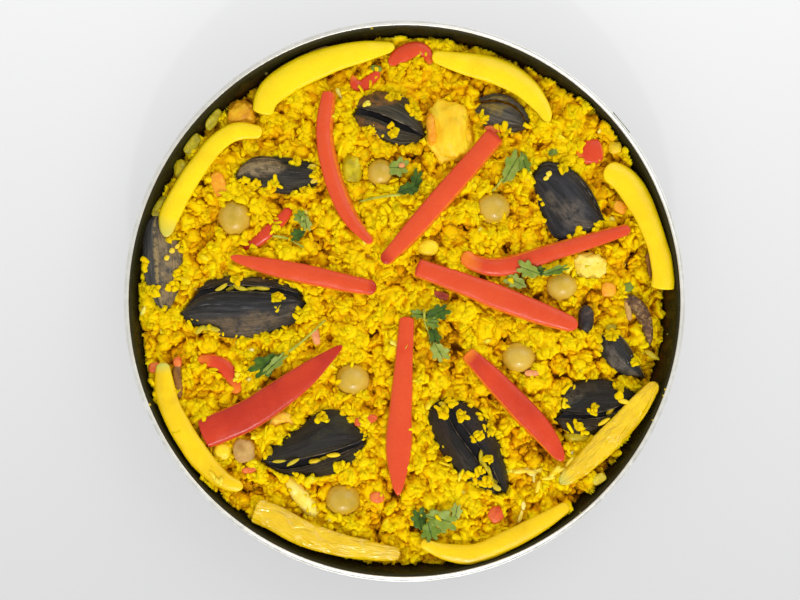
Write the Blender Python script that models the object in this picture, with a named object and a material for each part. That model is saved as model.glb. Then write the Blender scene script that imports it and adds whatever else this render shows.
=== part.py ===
"""Paella in its shallow round pan: rice heap, mussels, pepper strips, olives and cooked pieces."""

import math

import bpy
import bmesh
from mathutils import Matrix, Vector, noise
from mathutils.bvhtree import BVHTree
from mathutils.geometry import intersect_point_line

MM = 0.001

# Pan
RIM_RADIUS = 170.3
RIM_HEIGHT = 52.0
LIP_WIDTH = 3.0
LIP_DEPTH = 2.4
LIP_STEP = 0.8
WALL_FLARE = math.radians(14.0)
BASE_CORNER = 9.0
FLOOR_THICKNESS = 4.0
PAN_SIDES = 44

# Lug riveted under the lip, where a handle would hook on
LUG_ANGLE = math.radians(39.5)
LUG_WIDTH = 14.5
LUG_HEIGHT = 15.0
LUG_STAND_OUT = 2.0
LUG_DROP = 1.4

# Gaps between pieces, and how far a sharp edge of a cutter may move out
CLEARANCE = 0.35
SEAT_CLEARANCE = 0.52
SHARPEST = 1.6
SAME_PLANE = math.radians(1.2)

# Rice heap
HEAP_CENTRE_LEVEL = -12.5
HEAP_SHOULDER = 128.0
LUMP_SPAN = 23.0
LUMP_HEIGHT = 1.7
HEAP_RINGS = 8
PRESSED_MARGIN = 9.0
PRESSED_DOWN = -0.8
# level of the rice where it meets the wall, below the lip: (bearing in degrees, millimetres)
EDGE_LEVELS = [(0, -21), (28, -12), (43, -5), (62, -13), (90, -14), (125, -17), (160, -13),
               (190, -12), (217, -6), (250, -13), (285, -12), (312, -7), (335, -18)]

# Toppings
PEPPER_THICKNESS = 4.6
PEPPER_BOW = 1.6
VALVE_STATIONS = (0.02, 0.12, 0.3, 0.5, 0.7, 0.86, 0.965)
LIMB_SIDES = 6
ROUTE_STEPS = 12


def clear_scene():
    for thing in list(bpy.data.objects):
        bpy.data.objects.remove(thing)


def make_material(name, colour, roughness, metallic=0.0):
    material = bpy.data.materials.new(name)
    material.use_nodes = True
    shader = material.node_tree.nodes["Principled BSDF"]
    shader.inputs["Base Color"].default_value = (*colour, 1.0)
    shader.inputs["Roughness"].default_value = roughness
    shader.inputs["Metallic"].default_value = metallic
    return material


def add_object(name, shape, material, smooth=True):
    """Turn a bmesh in millimetres into an object in metres, with its faces pointing out."""
    bmesh.ops.recalc_face_normals(shape, faces=shape.faces)
    bmesh.ops.scale(shape, vec=(MM, MM, MM), verts=shape.verts)
    mesh = bpy.data.meshes.new(name)
    shape.to_mesh(mesh)
    shape.free()
    mesh.materials.append(material)
    if smooth:
        mesh.shade_smooth()
    thing = bpy.data.objects.new(name, mesh)
    bpy.context.scene.collection.objects.link(thing)
    return thing


def skin_rings(rings):
    """Close a row of equal rings of points into one body, with a flat cap at each end."""
    shape = bmesh.new()
    loops = [[shape.verts.new(point) for point in ring] for ring in rings]
    count = len(loops[0])
    for lower, upper in zip(loops, loops[1:]):
        for i in range(count):
            j = (i + 1) % count
            shape.faces.new((lower[i], lower[j], upper[j], upper[i]))
    shape.faces.new(loops[0])
    shape.faces.new(list(reversed(loops[-1])))
    return shape


def between(values, t):
    """Read a short list of evenly spaced values at t from 0 to 1."""
    place = t * (len(values) - 1)
    low = min(int(place), len(values) - 2)
    return values[low] + (values[low + 1] - values[low]) * (place - low)


def smooth_route(points):
    """Evenly spread stations, one more than the points, along a Catmull-Rom curve through them."""
    knots = [Vector(p) for p in points]
    knots = [2 * knots[0] - knots[1]] + knots + [2 * knots[-1] - knots[-2]]
    fine = []
    for a, b, c, d in zip(knots, knots[1:], knots[2:], knots[3:]):
        for step in range(ROUTE_STEPS):
            t = step / ROUTE_STEPS
            fine.append(0.5 * (2 * b + (c - a) * t + (2 * a - 5 * b + 4 * c - d) * t ** 2
                               + (3 * b - a - 3 * c + d) * t ** 3))
    fine.append(knots[-2])
    lengths = [0.0]
    for p, q in zip(fine, fine[1:]):
        lengths.append(lengths[-1] + (q - p).length)
    route = []
    for station in range(len(points) + 1):
        want = lengths[-1] * station / len(points)
        i = max(k for k, run in enumerate(lengths) if run <= want + 1e-9)
        i = min(i, len(fine) - 2)
        t = (want - lengths[i]) / (lengths[i + 1] - lengths[i])
        route.append(fine[i].lerp(fine[i + 1], min(t, 1.0)))
    return route


def wall_radius(height):
    """Radius of the pan's inner wall at a height."""
    return RIM_RADIUS - LIP_WIDTH - (RIM_HEIGHT - height) * math.tan(WALL_FLARE)


def rounded_foot(radius, height, corner):
    """Profile points of the corner between a floor and the flared wall above it."""
    steps = 2
    lean = math.pi / 2 - WALL_FLARE
    wall_foot = radius - corner * math.tan(lean / 2)
    return [(wall_foot + corner * math.sin(lean * i / steps),
             height + corner * (1 - math.cos(lean * i / steps))) for i in range(steps + 1)]


def turn(profile, sides):
    """Turn a closed profile, whose first and last points bound the two end discs."""
    rings = []
    for radius, height in profile:
        rings.append([(radius * math.cos(2 * math.pi * i / sides),
                       radius * math.sin(2 * math.pi * i / sides), height) for i in range(sides)])
    return skin_rings(rings)


def build_pan(material):
    skin = LIP_WIDTH - LIP_STEP
    outer_foot = RIM_RADIUS - LIP_STEP - RIM_HEIGHT * math.tan(WALL_FLARE)
    inner_foot = wall_radius(FLOOR_THICKNESS)
    profile = rounded_foot(outer_foot, 0.0, BASE_CORNER + skin)
    under_lip = RIM_HEIGHT - LIP_DEPTH
    profile += [
        (RIM_RADIUS - LIP_STEP - LIP_DEPTH * math.tan(WALL_FLARE), under_lip),
        (RIM_RADIUS, under_lip + LIP_STEP),
        (RIM_RADIUS, RIM_HEIGHT - LIP_STEP / 2),
        (RIM_RADIUS - LIP_STEP / 2, RIM_HEIGHT),
        (wall_radius(RIM_HEIGHT), RIM_HEIGHT),
    ]
    profile += reversed(rounded_foot(inner_foot, FLOOR_THICKNESS, BASE_CORNER))
    return add_object("pan", turn(profile, PAN_SIDES), material)


def build_handle_lug(material):
    """A bent plate: it stands clear under the lip and leans back against the wall."""
    top = RIM_HEIGHT - LIP_DEPTH - LUG_DROP
    bottom = top - LUG_HEIGHT
    outer = RIM_RADIUS + LUG_STAND_OUT

    def wall_outside(height):
        return RIM_RADIUS - LIP_STEP - (RIM_HEIGHT - height) * math.tan(WALL_FLARE) + CLEARANCE

    rings = []
    for across in (-0.5, 0.5):
        y = across * LUG_WIDTH
        rings.append([
            (wall_outside(top), y, top),
            (outer, y, top),
            (outer, y, top - 3.0),
            (wall_outside(bottom) + 2.0, y, bottom),
            (wall_outside(bottom), y, bottom),
        ])
    shape = skin_rings(rings)
    bmesh.ops.rotate(shape, matrix=Matrix.Rotation(LUG_ANGLE, 3, "Z"), verts=shape.verts)
    return add_object("handle_lug", shape, material, smooth=False)


def edge_level(bearing):
    """Level of the rice at the wall, eased round the pan between the listed bearings."""
    bearing = math.degrees(bearing) % 360
    stops = EDGE_LEVELS + [(EDGE_LEVELS[0][0] + 360, EDGE_LEVELS[0][1])]
    for (start, low), (end, high) in zip(stops, stops[1:]):
        if start <= bearing <= end:
            t = (bearing - start) / (end - start)
            return low + (high - low) * (1 - math.cos(math.pi * t)) / 2
    return stops[0][1]


def heap_height(x, y):
    """Smooth height of the rice, before its lumps."""
    edge = edge_level(math.atan2(y, x))
    reach = wall_radius(RIM_HEIGHT + edge)
    t = min(max((math.hypot(x, y) - HEAP_SHOULDER) / (reach - HEAP_SHOULDER), 0.0), 1.0)
    return RIM_HEIGHT + HEAP_CENTRE_LEVEL + (edge - HEAP_CENTRE_LEVEL) * t ** 3


def lumps(x, y):
    """Uneven outline of the heap; under a pepper strip it is pressed down flat."""
    rise = 2 * LUMP_HEIGHT * noise.noise(Vector((x / LUMP_SPAN, y / LUMP_SPAN, 3.7)))
    for strip in (*RED_STRIPS.values(), *YELLOW_STRIPS.values()):
        knots = [Vector(p) for p in strip["route"]]
        for start, end in zip(knots, knots[1:]):
            nearest, share = intersect_point_line(Vector((x, y)), start, end)
            nearest = start.lerp(end, min(max(share, 0.0), 1.0))
            if (nearest.xy - Vector((x, y))).length < max(strip["width"]) / 2 + PRESSED_MARGIN:
                return min(rise, PRESSED_DOWN)
    return rise


def build_rice(material):
    floor = FLOOR_THICKNESS + CLEARANCE
    foot = rounded_foot(wall_radius(floor) - CLEARANCE, floor, BASE_CORNER)
    rings = []
    for radius, height in foot:
        rings.append([(radius, height)] * PAN_SIDES)
    bearings = [2 * math.pi * i / PAN_SIDES for i in range(PAN_SIDES)]
    brim = []
    for bearing in bearings:
        level = RIM_HEIGHT + edge_level(bearing)
        brim.append((wall_radius(level) - CLEARANCE, level))
    rings.append(brim)
    for step in range(1, HEAP_RINGS):
        share = (1 - step / HEAP_RINGS) ** 0.9
        ring = []
        for bearing, (reach, _) in zip(bearings, brim):
            radius = reach * share
            x, y = radius * math.cos(bearing), radius * math.sin(bearing)
            ring.append((radius, heap_height(x, y) + lumps(x, y)))
        rings.append(ring)
    points = []
    for ring in rings:
        points.append([(radius * math.cos(b), radius * math.sin(b), height)
                       for b, (radius, height) in zip(bearings, ring)])
    return add_object("rice", skin_rings(points), material)


def strip_shape(route, width, lift, lean=0.0):
    """A bent slab laid along a plan route: skin side up, bowed across, tapered by width."""
    stations = smooth_route(route)
    last = len(stations) - 1
    rings = []
    for i, place in enumerate(stations):
        t = i / last
        ahead = stations[min(i + 1, last)] - stations[max(i - 1, 0)]
        side = Vector((-ahead.y, ahead.x)).normalized()
        half = between(width, t) / 2
        deep = PEPPER_THICKNESS * min(1.0, 0.35 + 0.65 * half / (0.3 * max(width)))
        arch = PEPPER_BOW * half / (max(width) / 2)
        top = heap_height(place.x, place.y) + between(lift, t)
        ring = []
        for across, up in ((-1, 0), (0, arch), (1, 0), (0.9, -deep), (0, arch - deep), (-0.9, -deep)):
            out = half * across
            spot = place + side * out * math.cos(lean)
            ring.append((spot.x, spot.y, top + up - arch + out * math.sin(lean)))
        rings.append(ring)
    return skin_rings(rings)


def hump(u, rise, fall):
    """A curve over u from 0 to 1 that peaks at 1, steeper on the side with the lower power."""
    peak = rise / (rise + fall)
    return (u / peak) ** rise * ((1 - u) / (1 - peak)) ** fall


def mussel_shape(place, length, tall, thick, heading, roll, gape=0.0, lift=0.0):
    """Two valves hinged along one side; gape opens them, roll turns the shell on its length."""
    rings = []
    for u in VALVE_STATIONS:
        high = tall * hump(u, 0.6, 0.42)
        hinge = 0.5 * high
        swell = thick / 2 * hump(u, 0.5, 0.55)
        tilt = math.radians(gape) / 2

        def on_valve(s, z, sign):
            along, up = -s * high, z
            return (hinge + along * math.cos(tilt) + up * math.sin(tilt),
                    sign * (up * math.cos(tilt) - along * math.sin(tilt)))

        section = [(hinge, 0.0), on_valve(0.3, 0.92 * swell, 1), on_valve(0.68, 0.8 * swell, 1)]
        if gape:
            section += [on_valve(1.0, 0.05 * swell, 1), (hinge - 0.42 * high, 0.0),
                        on_valve(1.0, 0.05 * swell, -1)]
        else:
            section += [(-0.5 * high, 0.0)]
        section += [on_valve(0.68, 0.8 * swell, -1), on_valve(0.3, 0.92 * swell, -1)]
        rings.append([((u - 0.5) * length, y, z) for y, z in section])
    shape = skin_rings(rings)
    x, y = place
    pose = (Matrix.Translation((x, y, heap_height(x, y) + lift))
            @ Matrix.Rotation(math.radians(heading), 4, "Z")
            @ Matrix.Rotation(math.radians(roll), 4, "X"))
    bmesh.ops.transform(shape, matrix=pose, verts=shape.verts)
    return shape


def ball_shape(place, size, lift, turn_by=0.0, rough=0.0, seed=0.0):
    """An olive, or with roughness a torn cooked piece: size is (length, width, height)."""
    shape = bmesh.new()
    bmesh.ops.create_icosphere(shape, subdivisions=2, radius=1.0)
    for vert in shape.verts:
        swell = 1.0 + rough * noise.noise(vert.co * 1.3 + Vector((seed, 2 * seed, 0.0)))
        vert.co = Vector((vert.co.x * size[0] / 2, vert.co.y * size[1] / 2,
                          vert.co.z * size[2] / 2)) * swell
    x, y = place
    pose = (Matrix.Translation((x, y, heap_height(x, y) + lift))
            @ Matrix.Rotation(math.radians(turn_by), 4, "Z"))
    bmesh.ops.transform(shape, matrix=pose, verts=shape.verts)
    return shape


def curl_shape(route, girth, lift):
    """A round limb of seafood laid along a plan route."""
    stations = smooth_route(route)
    last = len(stations) - 1
    rings = []
    for i, place in enumerate(stations):
        t = i / last
        ahead = stations[min(i + 1, last)] - stations[max(i - 1, 0)]
        side = Vector((-ahead.y, ahead.x)).normalized()
        radius = between(girth, t) / 2
        middle = heap_height(place.x, place.y) + between(lift, t)
        ring = []
        for k in range(LIMB_SIDES):
            angle = 2 * math.pi * k / LIMB_SIDES
            spot = place + side * radius * math.cos(angle)
            ring.append((spot.x, spot.y, middle + radius * math.sin(angle)))
        rings.append(ring)
    return skin_rings(rings)


RED_STRIPS = {
    "red_pepper_1": dict(route=[(-46, 128), (-49, 105), (-46, 84), (-40, 65), (-32, 50), (-20, 36)],
                         width=[6, 10, 11, 11, 10, 4], lift=[6.5, 7.5, 7, 6.5]),
    "red_pepper_2": dict(route=[(56, 102), (40, 83), (5, 43), (-13, 23)],
                         width=[11, 13, 13, 12, 9], lift=[6.5, 7, 6.5]),
    "red_pepper_3": dict(route=[(138.5, 44.5), (95, 31), (61, 21), (42, 23), (35, 29)],
                         width=[5, 10, 11, 11, 8], lift=[7, 7.5, 7, 6.5]),
    "red_pepper_4": dict(route=[(8, 20.5), (43, 7), (75, -5), (106, -16)],
                         width=[10, 13, 15, 14, 7], lift=[6.5, 7, 6.5]),
    "red_pepper_5": dict(route=[(38, -32), (53, -47), (71, -65), (86, -82), (97, -98)],
                         width=[9, 13, 15, 14, 8], lift=[6.5, 7, 6.5]),
    "red_pepper_6": dict(route=[(1.5, -10), (-1, -48), (-3.5, -85), (-4, -119)],
                         width=[8, 11, 14, 16, 6], lift=[6.5, 7, 6.5]),
    "red_pepper_7": dict(route=[(-124, -82), (-98, -71), (-81, -61), (-65, -49), (-50.5, -37.5),
                                (-38.5, -27.5)],
                         width=[18, 19, 19, 17, 12.5, 4], lift=[6.5, 7, 7, 6.5]),
    "red_pepper_8": dict(route=[(-107, 27), (-87, 22), (-61, 16.5), (-36, 11), (-17, 7.5)],
                         width=[4, 10, 12, 11, 7], lift=[6.5, 7, 6.5]),
    "red_pepper_bit_left": dict(route=[(-128, -36), (-116, -38), (-107, -45), (-103, -57)],
                                width=[7, 10, 10, 6], lift=[2, 3.5, 2]),
    "red_pepper_bit_buried": dict(route=[(-70, 57), (-79, 47), (-92, 36), (-100, 33)],
                                  width=[6, 8, 8, 5], lift=[2, 3, 0]),
    "red_pepper_bit_right": dict(route=[(106, 90), (122, 93)], width=[13, 17, 14],
                                 lift=[3, 4, 3]),
    "red_pepper_curl_low": dict(route=[(-33, 131), (-26, 138), (-15, 140)], width=[6, 9, 6],
                                lift=[2.5, 4, 3]),
    "red_pepper_curl_high": dict(route=[(-10, 144), (-1, 149), (8, 156), (18, 154)],
                                 width=[6, 9, 8, 5], lift=[4, 5, 4]),
}

YELLOW_STRIPS = {
    "yellow_pepper_1": dict(route=[(-87, 115), (-82, 128), (-68, 138.5), (-48, 146.7), (-27.5, 152),
                                   (-6.5, 156)],
                            width=[12, 17, 18, 17, 14, 10, 4.5], lift=[7, 8.5, 9, 9, 6], lean=0.1),
    "yellow_pepper_2": dict(route=[(-146, 39), (-144, 52), (-137, 67), (-127, 82), (-115, 97),
                                   (-103, 104), (-87.5, 103)],
                            width=[8, 13.5, 13, 12.5, 12.5, 11.5, 10, 6], lift=[8.5, 8, 8, 6.5],
                            lean=-0.1),
    "yellow_pepper_3": dict(route=[(17, 150), (34, 146), (55.5, 141), (72, 132.5), (83.5, 120), (88, 110)],
                            width=[7, 13.5, 16.5, 16, 12.5, 6], lift=[7, 7.5, 7, 6.5], lean=0.1),
    "yellow_pepper_4": dict(route=[(122.5, 82), (136, 73), (145.5, 59.5), (151.5, 44.5), (155.5, 30),
                                   (157.5, 17.5), (157.5, 7)],
                            width=[12, 16.5, 16, 14, 12.5, 12.5, 13, 13], lift=[7, 7.5, 8, 10, 13, 15],
                            lean=-0.12),
    "yellow_pepper_5": dict(route=[(153, -50), (146, -60.5), (136, -72.5), (122, -87.5),
                                   (107.5, -101.5), (95.5, -111.5)],
                            width=[6, 12.5, 15.5, 15.5, 13.5, 7], lift=[15, 11, 7.5, 6.5], lean=-0.1),
    "yellow_pepper_6": dict(route=[(10, -148), (25, -153), (43, -153.8), (64, -145.7), (84, -135),
                                   (100, -125)],
                            width=[6, 11.5, 12, 12, 7], lift=[8, 10, 9.5, 7], lean=-0.1),
    "yellow_pepper_7": dict(route=[(-91, -129.5), (-77, -135.5), (-57, -144), (-31, -150.5),
                                   (-3, -154.5)],
                            width=[14, 16.5, 16, 14, 11, 7], lift=[8, 10, 10, 8], lean=-0.05),
    "yellow_pepper_8": dict(route=[(-148, -38), (-145.5, -57), (-137, -77), (-124.5, -95.5),
                                   (-111.5, -109), (-99, -114)],
                            width=[7, 12.5, 13, 13, 12, 6], lift=[8, 8.5, 7.5, 6.5], lean=-0.1),
}

MUSSELS = {
    "mussel_1": dict(place=(-76, 75), length=58, tall=25, thick=19, heading=180, roll=4, lift=-1.8),
    "mussel_2": dict(place=(-9, 112), length=53, tall=27, thick=21, heading=159, roll=-118,
                     gape=16, lift=-6),
    "mussel_3": dict(place=(61.5, 114), length=42, tall=22, thick=16, heading=153, roll=-35,
                     gape=18, lift=-2.4),
    "mussel_4": dict(place=(101, 59), length=58, tall=35, thick=19, heading=130, roll=6, lift=-2.5),
    "mussel_5": dict(place=(-144.5, 24), length=62, tall=24, thick=15, heading=103, roll=24,
                     lift=-0.5),
    "mussel_6": dict(place=(-99, -4), length=78, tall=33, thick=25, heading=1, roll=215, gape=22,
                     lift=-7.2),
    "mussel_7": dict(place=(-54, -88), length=70, tall=33, thick=24, heading=19, roll=-32,
                     gape=20, lift=-6.3),
    "mussel_8": dict(place=(40, -91), length=73, tall=34, thick=27, heading=126, roll=90,
                     gape=12, lift=-9.5),
    "mussel_9": dict(place=(118, -63), length=56, tall=28, thick=22, heading=184, roll=208,
                     gape=22, lift=-5),
    "mussel_10": dict(place=(133, -34), length=48, tall=22, thick=17, heading=135, roll=-12,
                      lift=-1.5),
}

SHELL_CHIPS = {
    "mussel_11": dict(place=(112, -11), size=(18, 9, 9), lift=0.5, turn_by=103, rough=0.1,
                      seed=11.0),
}

OLIVES = {
    "olive_1": dict(place=(-105, 51.5), size=(21, 23, 21), lift=-3.5, turn_by=-8),
    "olive_2": dict(place=(-15, 79), size=(18, 18, 18), lift=-3.2),
    "olive_3": dict(place=(55, 57), size=(21.5, 21, 20.5), lift=-3.2, turn_by=20),
    "olive_4": dict(place=(97.5, 9), size=(20.5, 19, 19), lift=-2.8),
    "olive_5": dict(place=(71, -35), size=(22, 19.5, 19.5), lift=-2.8, turn_by=12),
    "olive_6": dict(place=(-32, -48.5), size=(21, 20, 20), lift=-3.0, turn_by=-25),
    "olive_7": dict(place=(-38, -123), size=(22, 20, 20), lift=-3.2, turn_by=8),
}

COOKED_PIECES = {
    "chicken_large": dict(place=(29, 103), size=(27.5, 43, 23), lift=-4, turn_by=-14, rough=0.3,
                          seed=1.0),
    "chicken_corner": dict(place=(-99.5, 115.5), size=(20, 18, 13), lift=-0.5, turn_by=-20, rough=0.3,
                           seed=2.0),
    "white_fish": dict(place=(115, 21.5), size=(22, 18, 11), lift=-1.5, turn_by=20, rough=0.2,
                       seed=3.0),
    "onion_left": dict(place=(-112, -92.5), size=(12, 12, 10), lift=-0.5, rough=0.15, seed=4.0),
    "squid_strip": dict(place=(-64, -121), size=(33, 12, 11), lift=-1, turn_by=-48, rough=0.2,
                        seed=5.0),
    "green_pepper_left": dict(place=(-138, 81.5), size=(14, 6, 8), lift=0.5, turn_by=60,
                              rough=0.15, seed=6.0),
    "green_pepper_top": dict(place=(-32.5, 82), size=(12, 21, 9), lift=-1.5, turn_by=15, rough=0.2,
                             seed=7.0),
    "squid_ring_middle": dict(place=(15, 33), size=(14, 10, 9), lift=-1, turn_by=-20, rough=0.15,
                              seed=8.0),
    "fish_corner": dict(place=(129.5, 94), size=(8.5, 8.5, 7), lift=0.5, turn_by=30, rough=0.2,
                        seed=9.0),
    "onion_clear": dict(place=(108, -84), size=(18, 8, 8), lift=-3, turn_by=8, rough=0.15,
                        seed=10.0),
}

CURLS = {
    "shrimp": dict(route=[(-82, -76.5), (-77, -71.5), (-71, -72.5), (-69, -78.5)], girth=[5, 7, 6, 4],
                   lift=[0, 0.5, -0.5]),
    "squid_arm": dict(route=[(138, 1), (146, -6), (149, -15), (151, -27)], girth=[8, 10, 9, 4],
                      lift=[-1, 2, 1]),
}

# (piece that lies underneath, piece above that hollows it)
OVERLAPS = [("mussel_1", "red_pepper_1"), ("mussel_4", "red_pepper_3"),
            ("mussel_5", "yellow_pepper_2"), ("mussel_9", "yellow_pepper_5"),
            ("chicken_large", "red_pepper_2"), ("chicken_large", "mussel_2"),
            ("chicken_corner", "yellow_pepper_2"), ("chicken_corner", "yellow_pepper_1")]


def grown(thing):
    """A copy of a piece with every face moved out by the seat's clearance, to cut with."""
    shape = bmesh.new()
    shape.from_mesh(thing.data)
    shape.normal_update()
    moves = [vert.normal * min(vert.calc_shell_factor(), SHARPEST) * SEAT_CLEARANCE * MM
             for vert in shape.verts]
    for vert, move in zip(shape.verts, moves):
        vert.co += move
    mesh = bpy.data.meshes.new(thing.name + "_seat")
    shape.to_mesh(mesh)
    shape.free()
    cutter = bpy.data.objects.new(mesh.name, mesh)
    cutter.hide_render = True
    cutter.display_type = "WIRE"
    bpy.context.scene.collection.objects.link(cutter)
    return cutter


def keep_largest(shape):
    """Drop the crumbs that a cut leaves beside the main body."""
    left = set(shape.verts)
    islands = []
    while left:
        todo = [left.pop()]
        island = []
        while todo:
            vert = todo.pop()
            island.append(vert)
            for edge in vert.link_edges:
                other = edge.other_vert(vert)
                if other in left:
                    left.remove(other)
                    todo.append(other)
        islands.append(island)
    islands.sort(key=len)
    for island in islands[:-1]:
        bmesh.ops.delete(shape, geom=island, context="VERTS")


def carve(body, cutters):
    """Cut the seats out of a body, where it has them, and keep the result as its mesh."""
    view = bpy.context.evaluated_depsgraph_get()
    surface = BVHTree.FromObject(body, view)
    for cutter in cutters:
        if not surface.overlap(BVHTree.FromObject(cutter, view)):
            continue
        cut = body.modifiers.new(cutter.name, "BOOLEAN")
        cut.object = cutter
        cut.solver = "EXACT"
        cut.operation = "DIFFERENCE"
    view = bpy.context.evaluated_depsgraph_get()
    mesh = bpy.data.meshes.new_from_object(body.evaluated_get(view))
    body.modifiers.clear()
    shape = bmesh.new()
    shape.from_mesh(mesh)
    keep_largest(shape)
    bmesh.ops.dissolve_limit(shape, angle_limit=SAME_PLANE, verts=shape.verts, edges=shape.edges)
    bmesh.ops.triangulate(shape, faces=shape.faces)
    shape.to_mesh(body.data)
    shape.free()
    for cutter in cutters:
        bpy.data.objects.remove(cutter)


def main():
    clear_scene()
    coat = make_material("dark_coat", (0.02, 0.018, 0.01), 0.35)
    lug_steel = make_material("lug_coat", (0.06, 0.06, 0.03), 0.5)
    rice_yellow = make_material("saffron_rice", (0.9, 0.6, 0.02), 0.6)
    red = make_material("red_pepper", (0.75, 0.07, 0.03), 0.35)
    yellow = make_material("yellow_pepper", (0.9, 0.6, 0.01), 0.35)
    shell = make_material("mussel_shell", (0.015, 0.016, 0.025), 0.4)
    olive = make_material("green_olive", (0.5, 0.4, 0.12), 0.3)
    flesh = make_material("cooked_flesh", (0.85, 0.5, 0.1), 0.5)

    build_pan(coat)
    build_handle_lug(lug_steel)
    rice = build_rice(rice_yellow)

    toppings = {}
    for pieces, make_shape, material in (
            (RED_STRIPS, strip_shape, red), (YELLOW_STRIPS, strip_shape, yellow),
            (MUSSELS, mussel_shape, shell), (SHELL_CHIPS, ball_shape, shell),
            (OLIVES, ball_shape, olive), (COOKED_PIECES, ball_shape, flesh),
            (CURLS, curl_shape, flesh)):
        for name, sizes in pieces.items():
            toppings[name] = add_object(name, make_shape(**sizes), material)

    carve(rice, [grown(thing) for thing in toppings.values()])
    for under, over in OVERLAPS:
        carve(toppings[under], [grown(toppings[over])])


main()
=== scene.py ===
import math

import bmesh
import bpy
import numpy as np
from mathutils import Euler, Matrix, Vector, noise
from mathutils.bvhtree import BVHTree


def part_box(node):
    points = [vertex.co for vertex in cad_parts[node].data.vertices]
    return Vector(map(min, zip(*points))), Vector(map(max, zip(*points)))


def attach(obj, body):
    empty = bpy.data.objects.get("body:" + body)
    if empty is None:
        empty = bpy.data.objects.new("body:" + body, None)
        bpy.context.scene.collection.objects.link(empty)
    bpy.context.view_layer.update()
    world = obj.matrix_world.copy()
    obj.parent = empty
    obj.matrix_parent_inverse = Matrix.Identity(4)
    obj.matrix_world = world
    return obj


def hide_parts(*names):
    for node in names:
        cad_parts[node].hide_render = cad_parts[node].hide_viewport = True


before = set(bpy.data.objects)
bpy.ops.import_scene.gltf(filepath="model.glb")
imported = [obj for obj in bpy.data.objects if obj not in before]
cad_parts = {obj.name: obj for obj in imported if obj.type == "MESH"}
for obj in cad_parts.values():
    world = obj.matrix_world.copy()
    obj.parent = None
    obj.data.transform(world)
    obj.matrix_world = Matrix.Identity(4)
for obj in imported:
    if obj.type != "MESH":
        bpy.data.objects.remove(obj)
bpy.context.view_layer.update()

# Paella in its pan. Shapes are worked out in millimetres and scaled to metres in addPiece.
mm = 0.001
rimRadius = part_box("pan")[1].x / mm
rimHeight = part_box("pan")[1].z / mm
print("frame loaded, rim radius", round(rimRadius, 1))


# small helpers for shapes

def addPiece(name, points, faces, materials, nodes=(), faceMaterials=None, marks=None,
             fixNormals=True):
    mesh = bpy.data.meshes.new(name)
    mesh.from_pydata(np.array(points) * mm, [], faces)
    for material in materials:
        mesh.materials.append(material)
    if faceMaterials is not None:
        mesh.polygons.foreach_set("material_index", np.array(faceMaterials, np.int32))
    for mark, values in (marks or {}).items():
        layer = mesh.attributes.new(mark, "FLOAT", "POINT")
        layer.data.foreach_set("value", np.array(values, np.float32))
    if fixNormals:
        shape = bmesh.new()
        shape.from_mesh(mesh)
        bmesh.ops.recalc_face_normals(shape, faces=shape.faces)
        shape.to_mesh(mesh)
        shape.free()
    mesh.shade_smooth()
    piece = bpy.data.objects.new(name, mesh)
    bpy.context.scene.collection.objects.link(piece)
    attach(piece, "root")
    if nodes:
        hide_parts(*nodes)
    return piece


def gridFaces(rows, columns, closed=True, start=0):
    # quads between rows of points; closed joins the last column to the first
    faces = []
    for i in range(rows - 1):
        for j in range(columns if closed else columns - 1):
            k = (j + 1) % columns
            faces.append((start + i * columns + j, start + i * columns + k,
                          start + (i + 1) * columns + k, start + (i + 1) * columns + j))
    return faces


def closeEnds(faces, count, columns):
    # one flat face over the first row of a grid of points and one over the last
    faces.append(tuple(range(columns)))
    faces.append(tuple(range(count - columns, count)))


def ballGrid(rows, columns):
    # unit ball as rings of points with a pole at each end, its axis along x
    points = [(-1.0, 0.0, 0.0)]
    for i in range(1, rows):
        lat = math.pi * i / rows
        for j in range(columns):
            turn = 2 * math.pi * j / columns
            points.append((-math.cos(lat), math.sin(lat) * math.cos(turn),
                           math.sin(lat) * math.sin(turn)))
    points.append((1.0, 0.0, 0.0))
    faces = gridFaces(rows - 1, columns, start=1)
    last = len(points) - 1
    for j in range(columns):
        k = (j + 1) % columns
        faces.append((0, 1 + k, 1 + j))
        faces.append((last, last - columns + j, last - columns + k))
    return np.array(points), faces


def wobble(points, size, seed=0.0):
    # smooth noise in -1..1 at each point, with features about as large as size
    shift = Vector((seed * 7.3, seed * 3.1, seed * 5.7))
    return np.array([noise.noise(Vector(point) / size + shift) for point in points])


def smoothLine(points, count):
    # Catmull-Rom curve through the points, read off at even steps
    knots = np.array(points, float)
    knots = np.vstack([2 * knots[0] - knots[1], knots, 2 * knots[-1] - knots[-2]])
    steps = np.linspace(0, 1, 16, endpoint=False)[:, None]
    fine = []
    for a, b, c, d in zip(knots, knots[1:], knots[2:], knots[3:]):
        fine.append(0.5 * (2 * b + (c - a) * steps + (2 * a - 5 * b + 4 * c - d) * steps ** 2
                           + (3 * b - a - 3 * c + d) * steps ** 3))
    fine = np.vstack(fine + [knots[-2:-1]])
    run = np.concatenate([[0], np.cumsum(np.linalg.norm(np.diff(fine, axis=0), axis=1))])
    at = np.linspace(0, run[-1], count)
    return np.column_stack([np.interp(at, run, fine[:, k]) for k in range(fine.shape[1])])


def readAlong(values, shares):
    # evenly spaced values as one smooth curve, read at shares from 0 to 1
    line = smoothLine(np.column_stack([np.linspace(0, 1, len(values)), values]), 200)
    return np.interp(shares, line[:, 0], line[:, 1])


def roomOf(node):
    low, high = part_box(node)
    return np.array(low) / mm, np.array(high) / mm


def seatIn(points, node):
    # fits a fresh shape to the room that its CAD node holds
    low, high = roomOf(node)
    lowest, highest = points.min(0), points.max(0)
    return low + (points - lowest) * (high - low) / (highest - lowest)


def pieceName(node):
    # red_pepper_1 becomes redPepper1
    name = node.title().replace("_", "")
    return name[0].lower() + name[1:]


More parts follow.
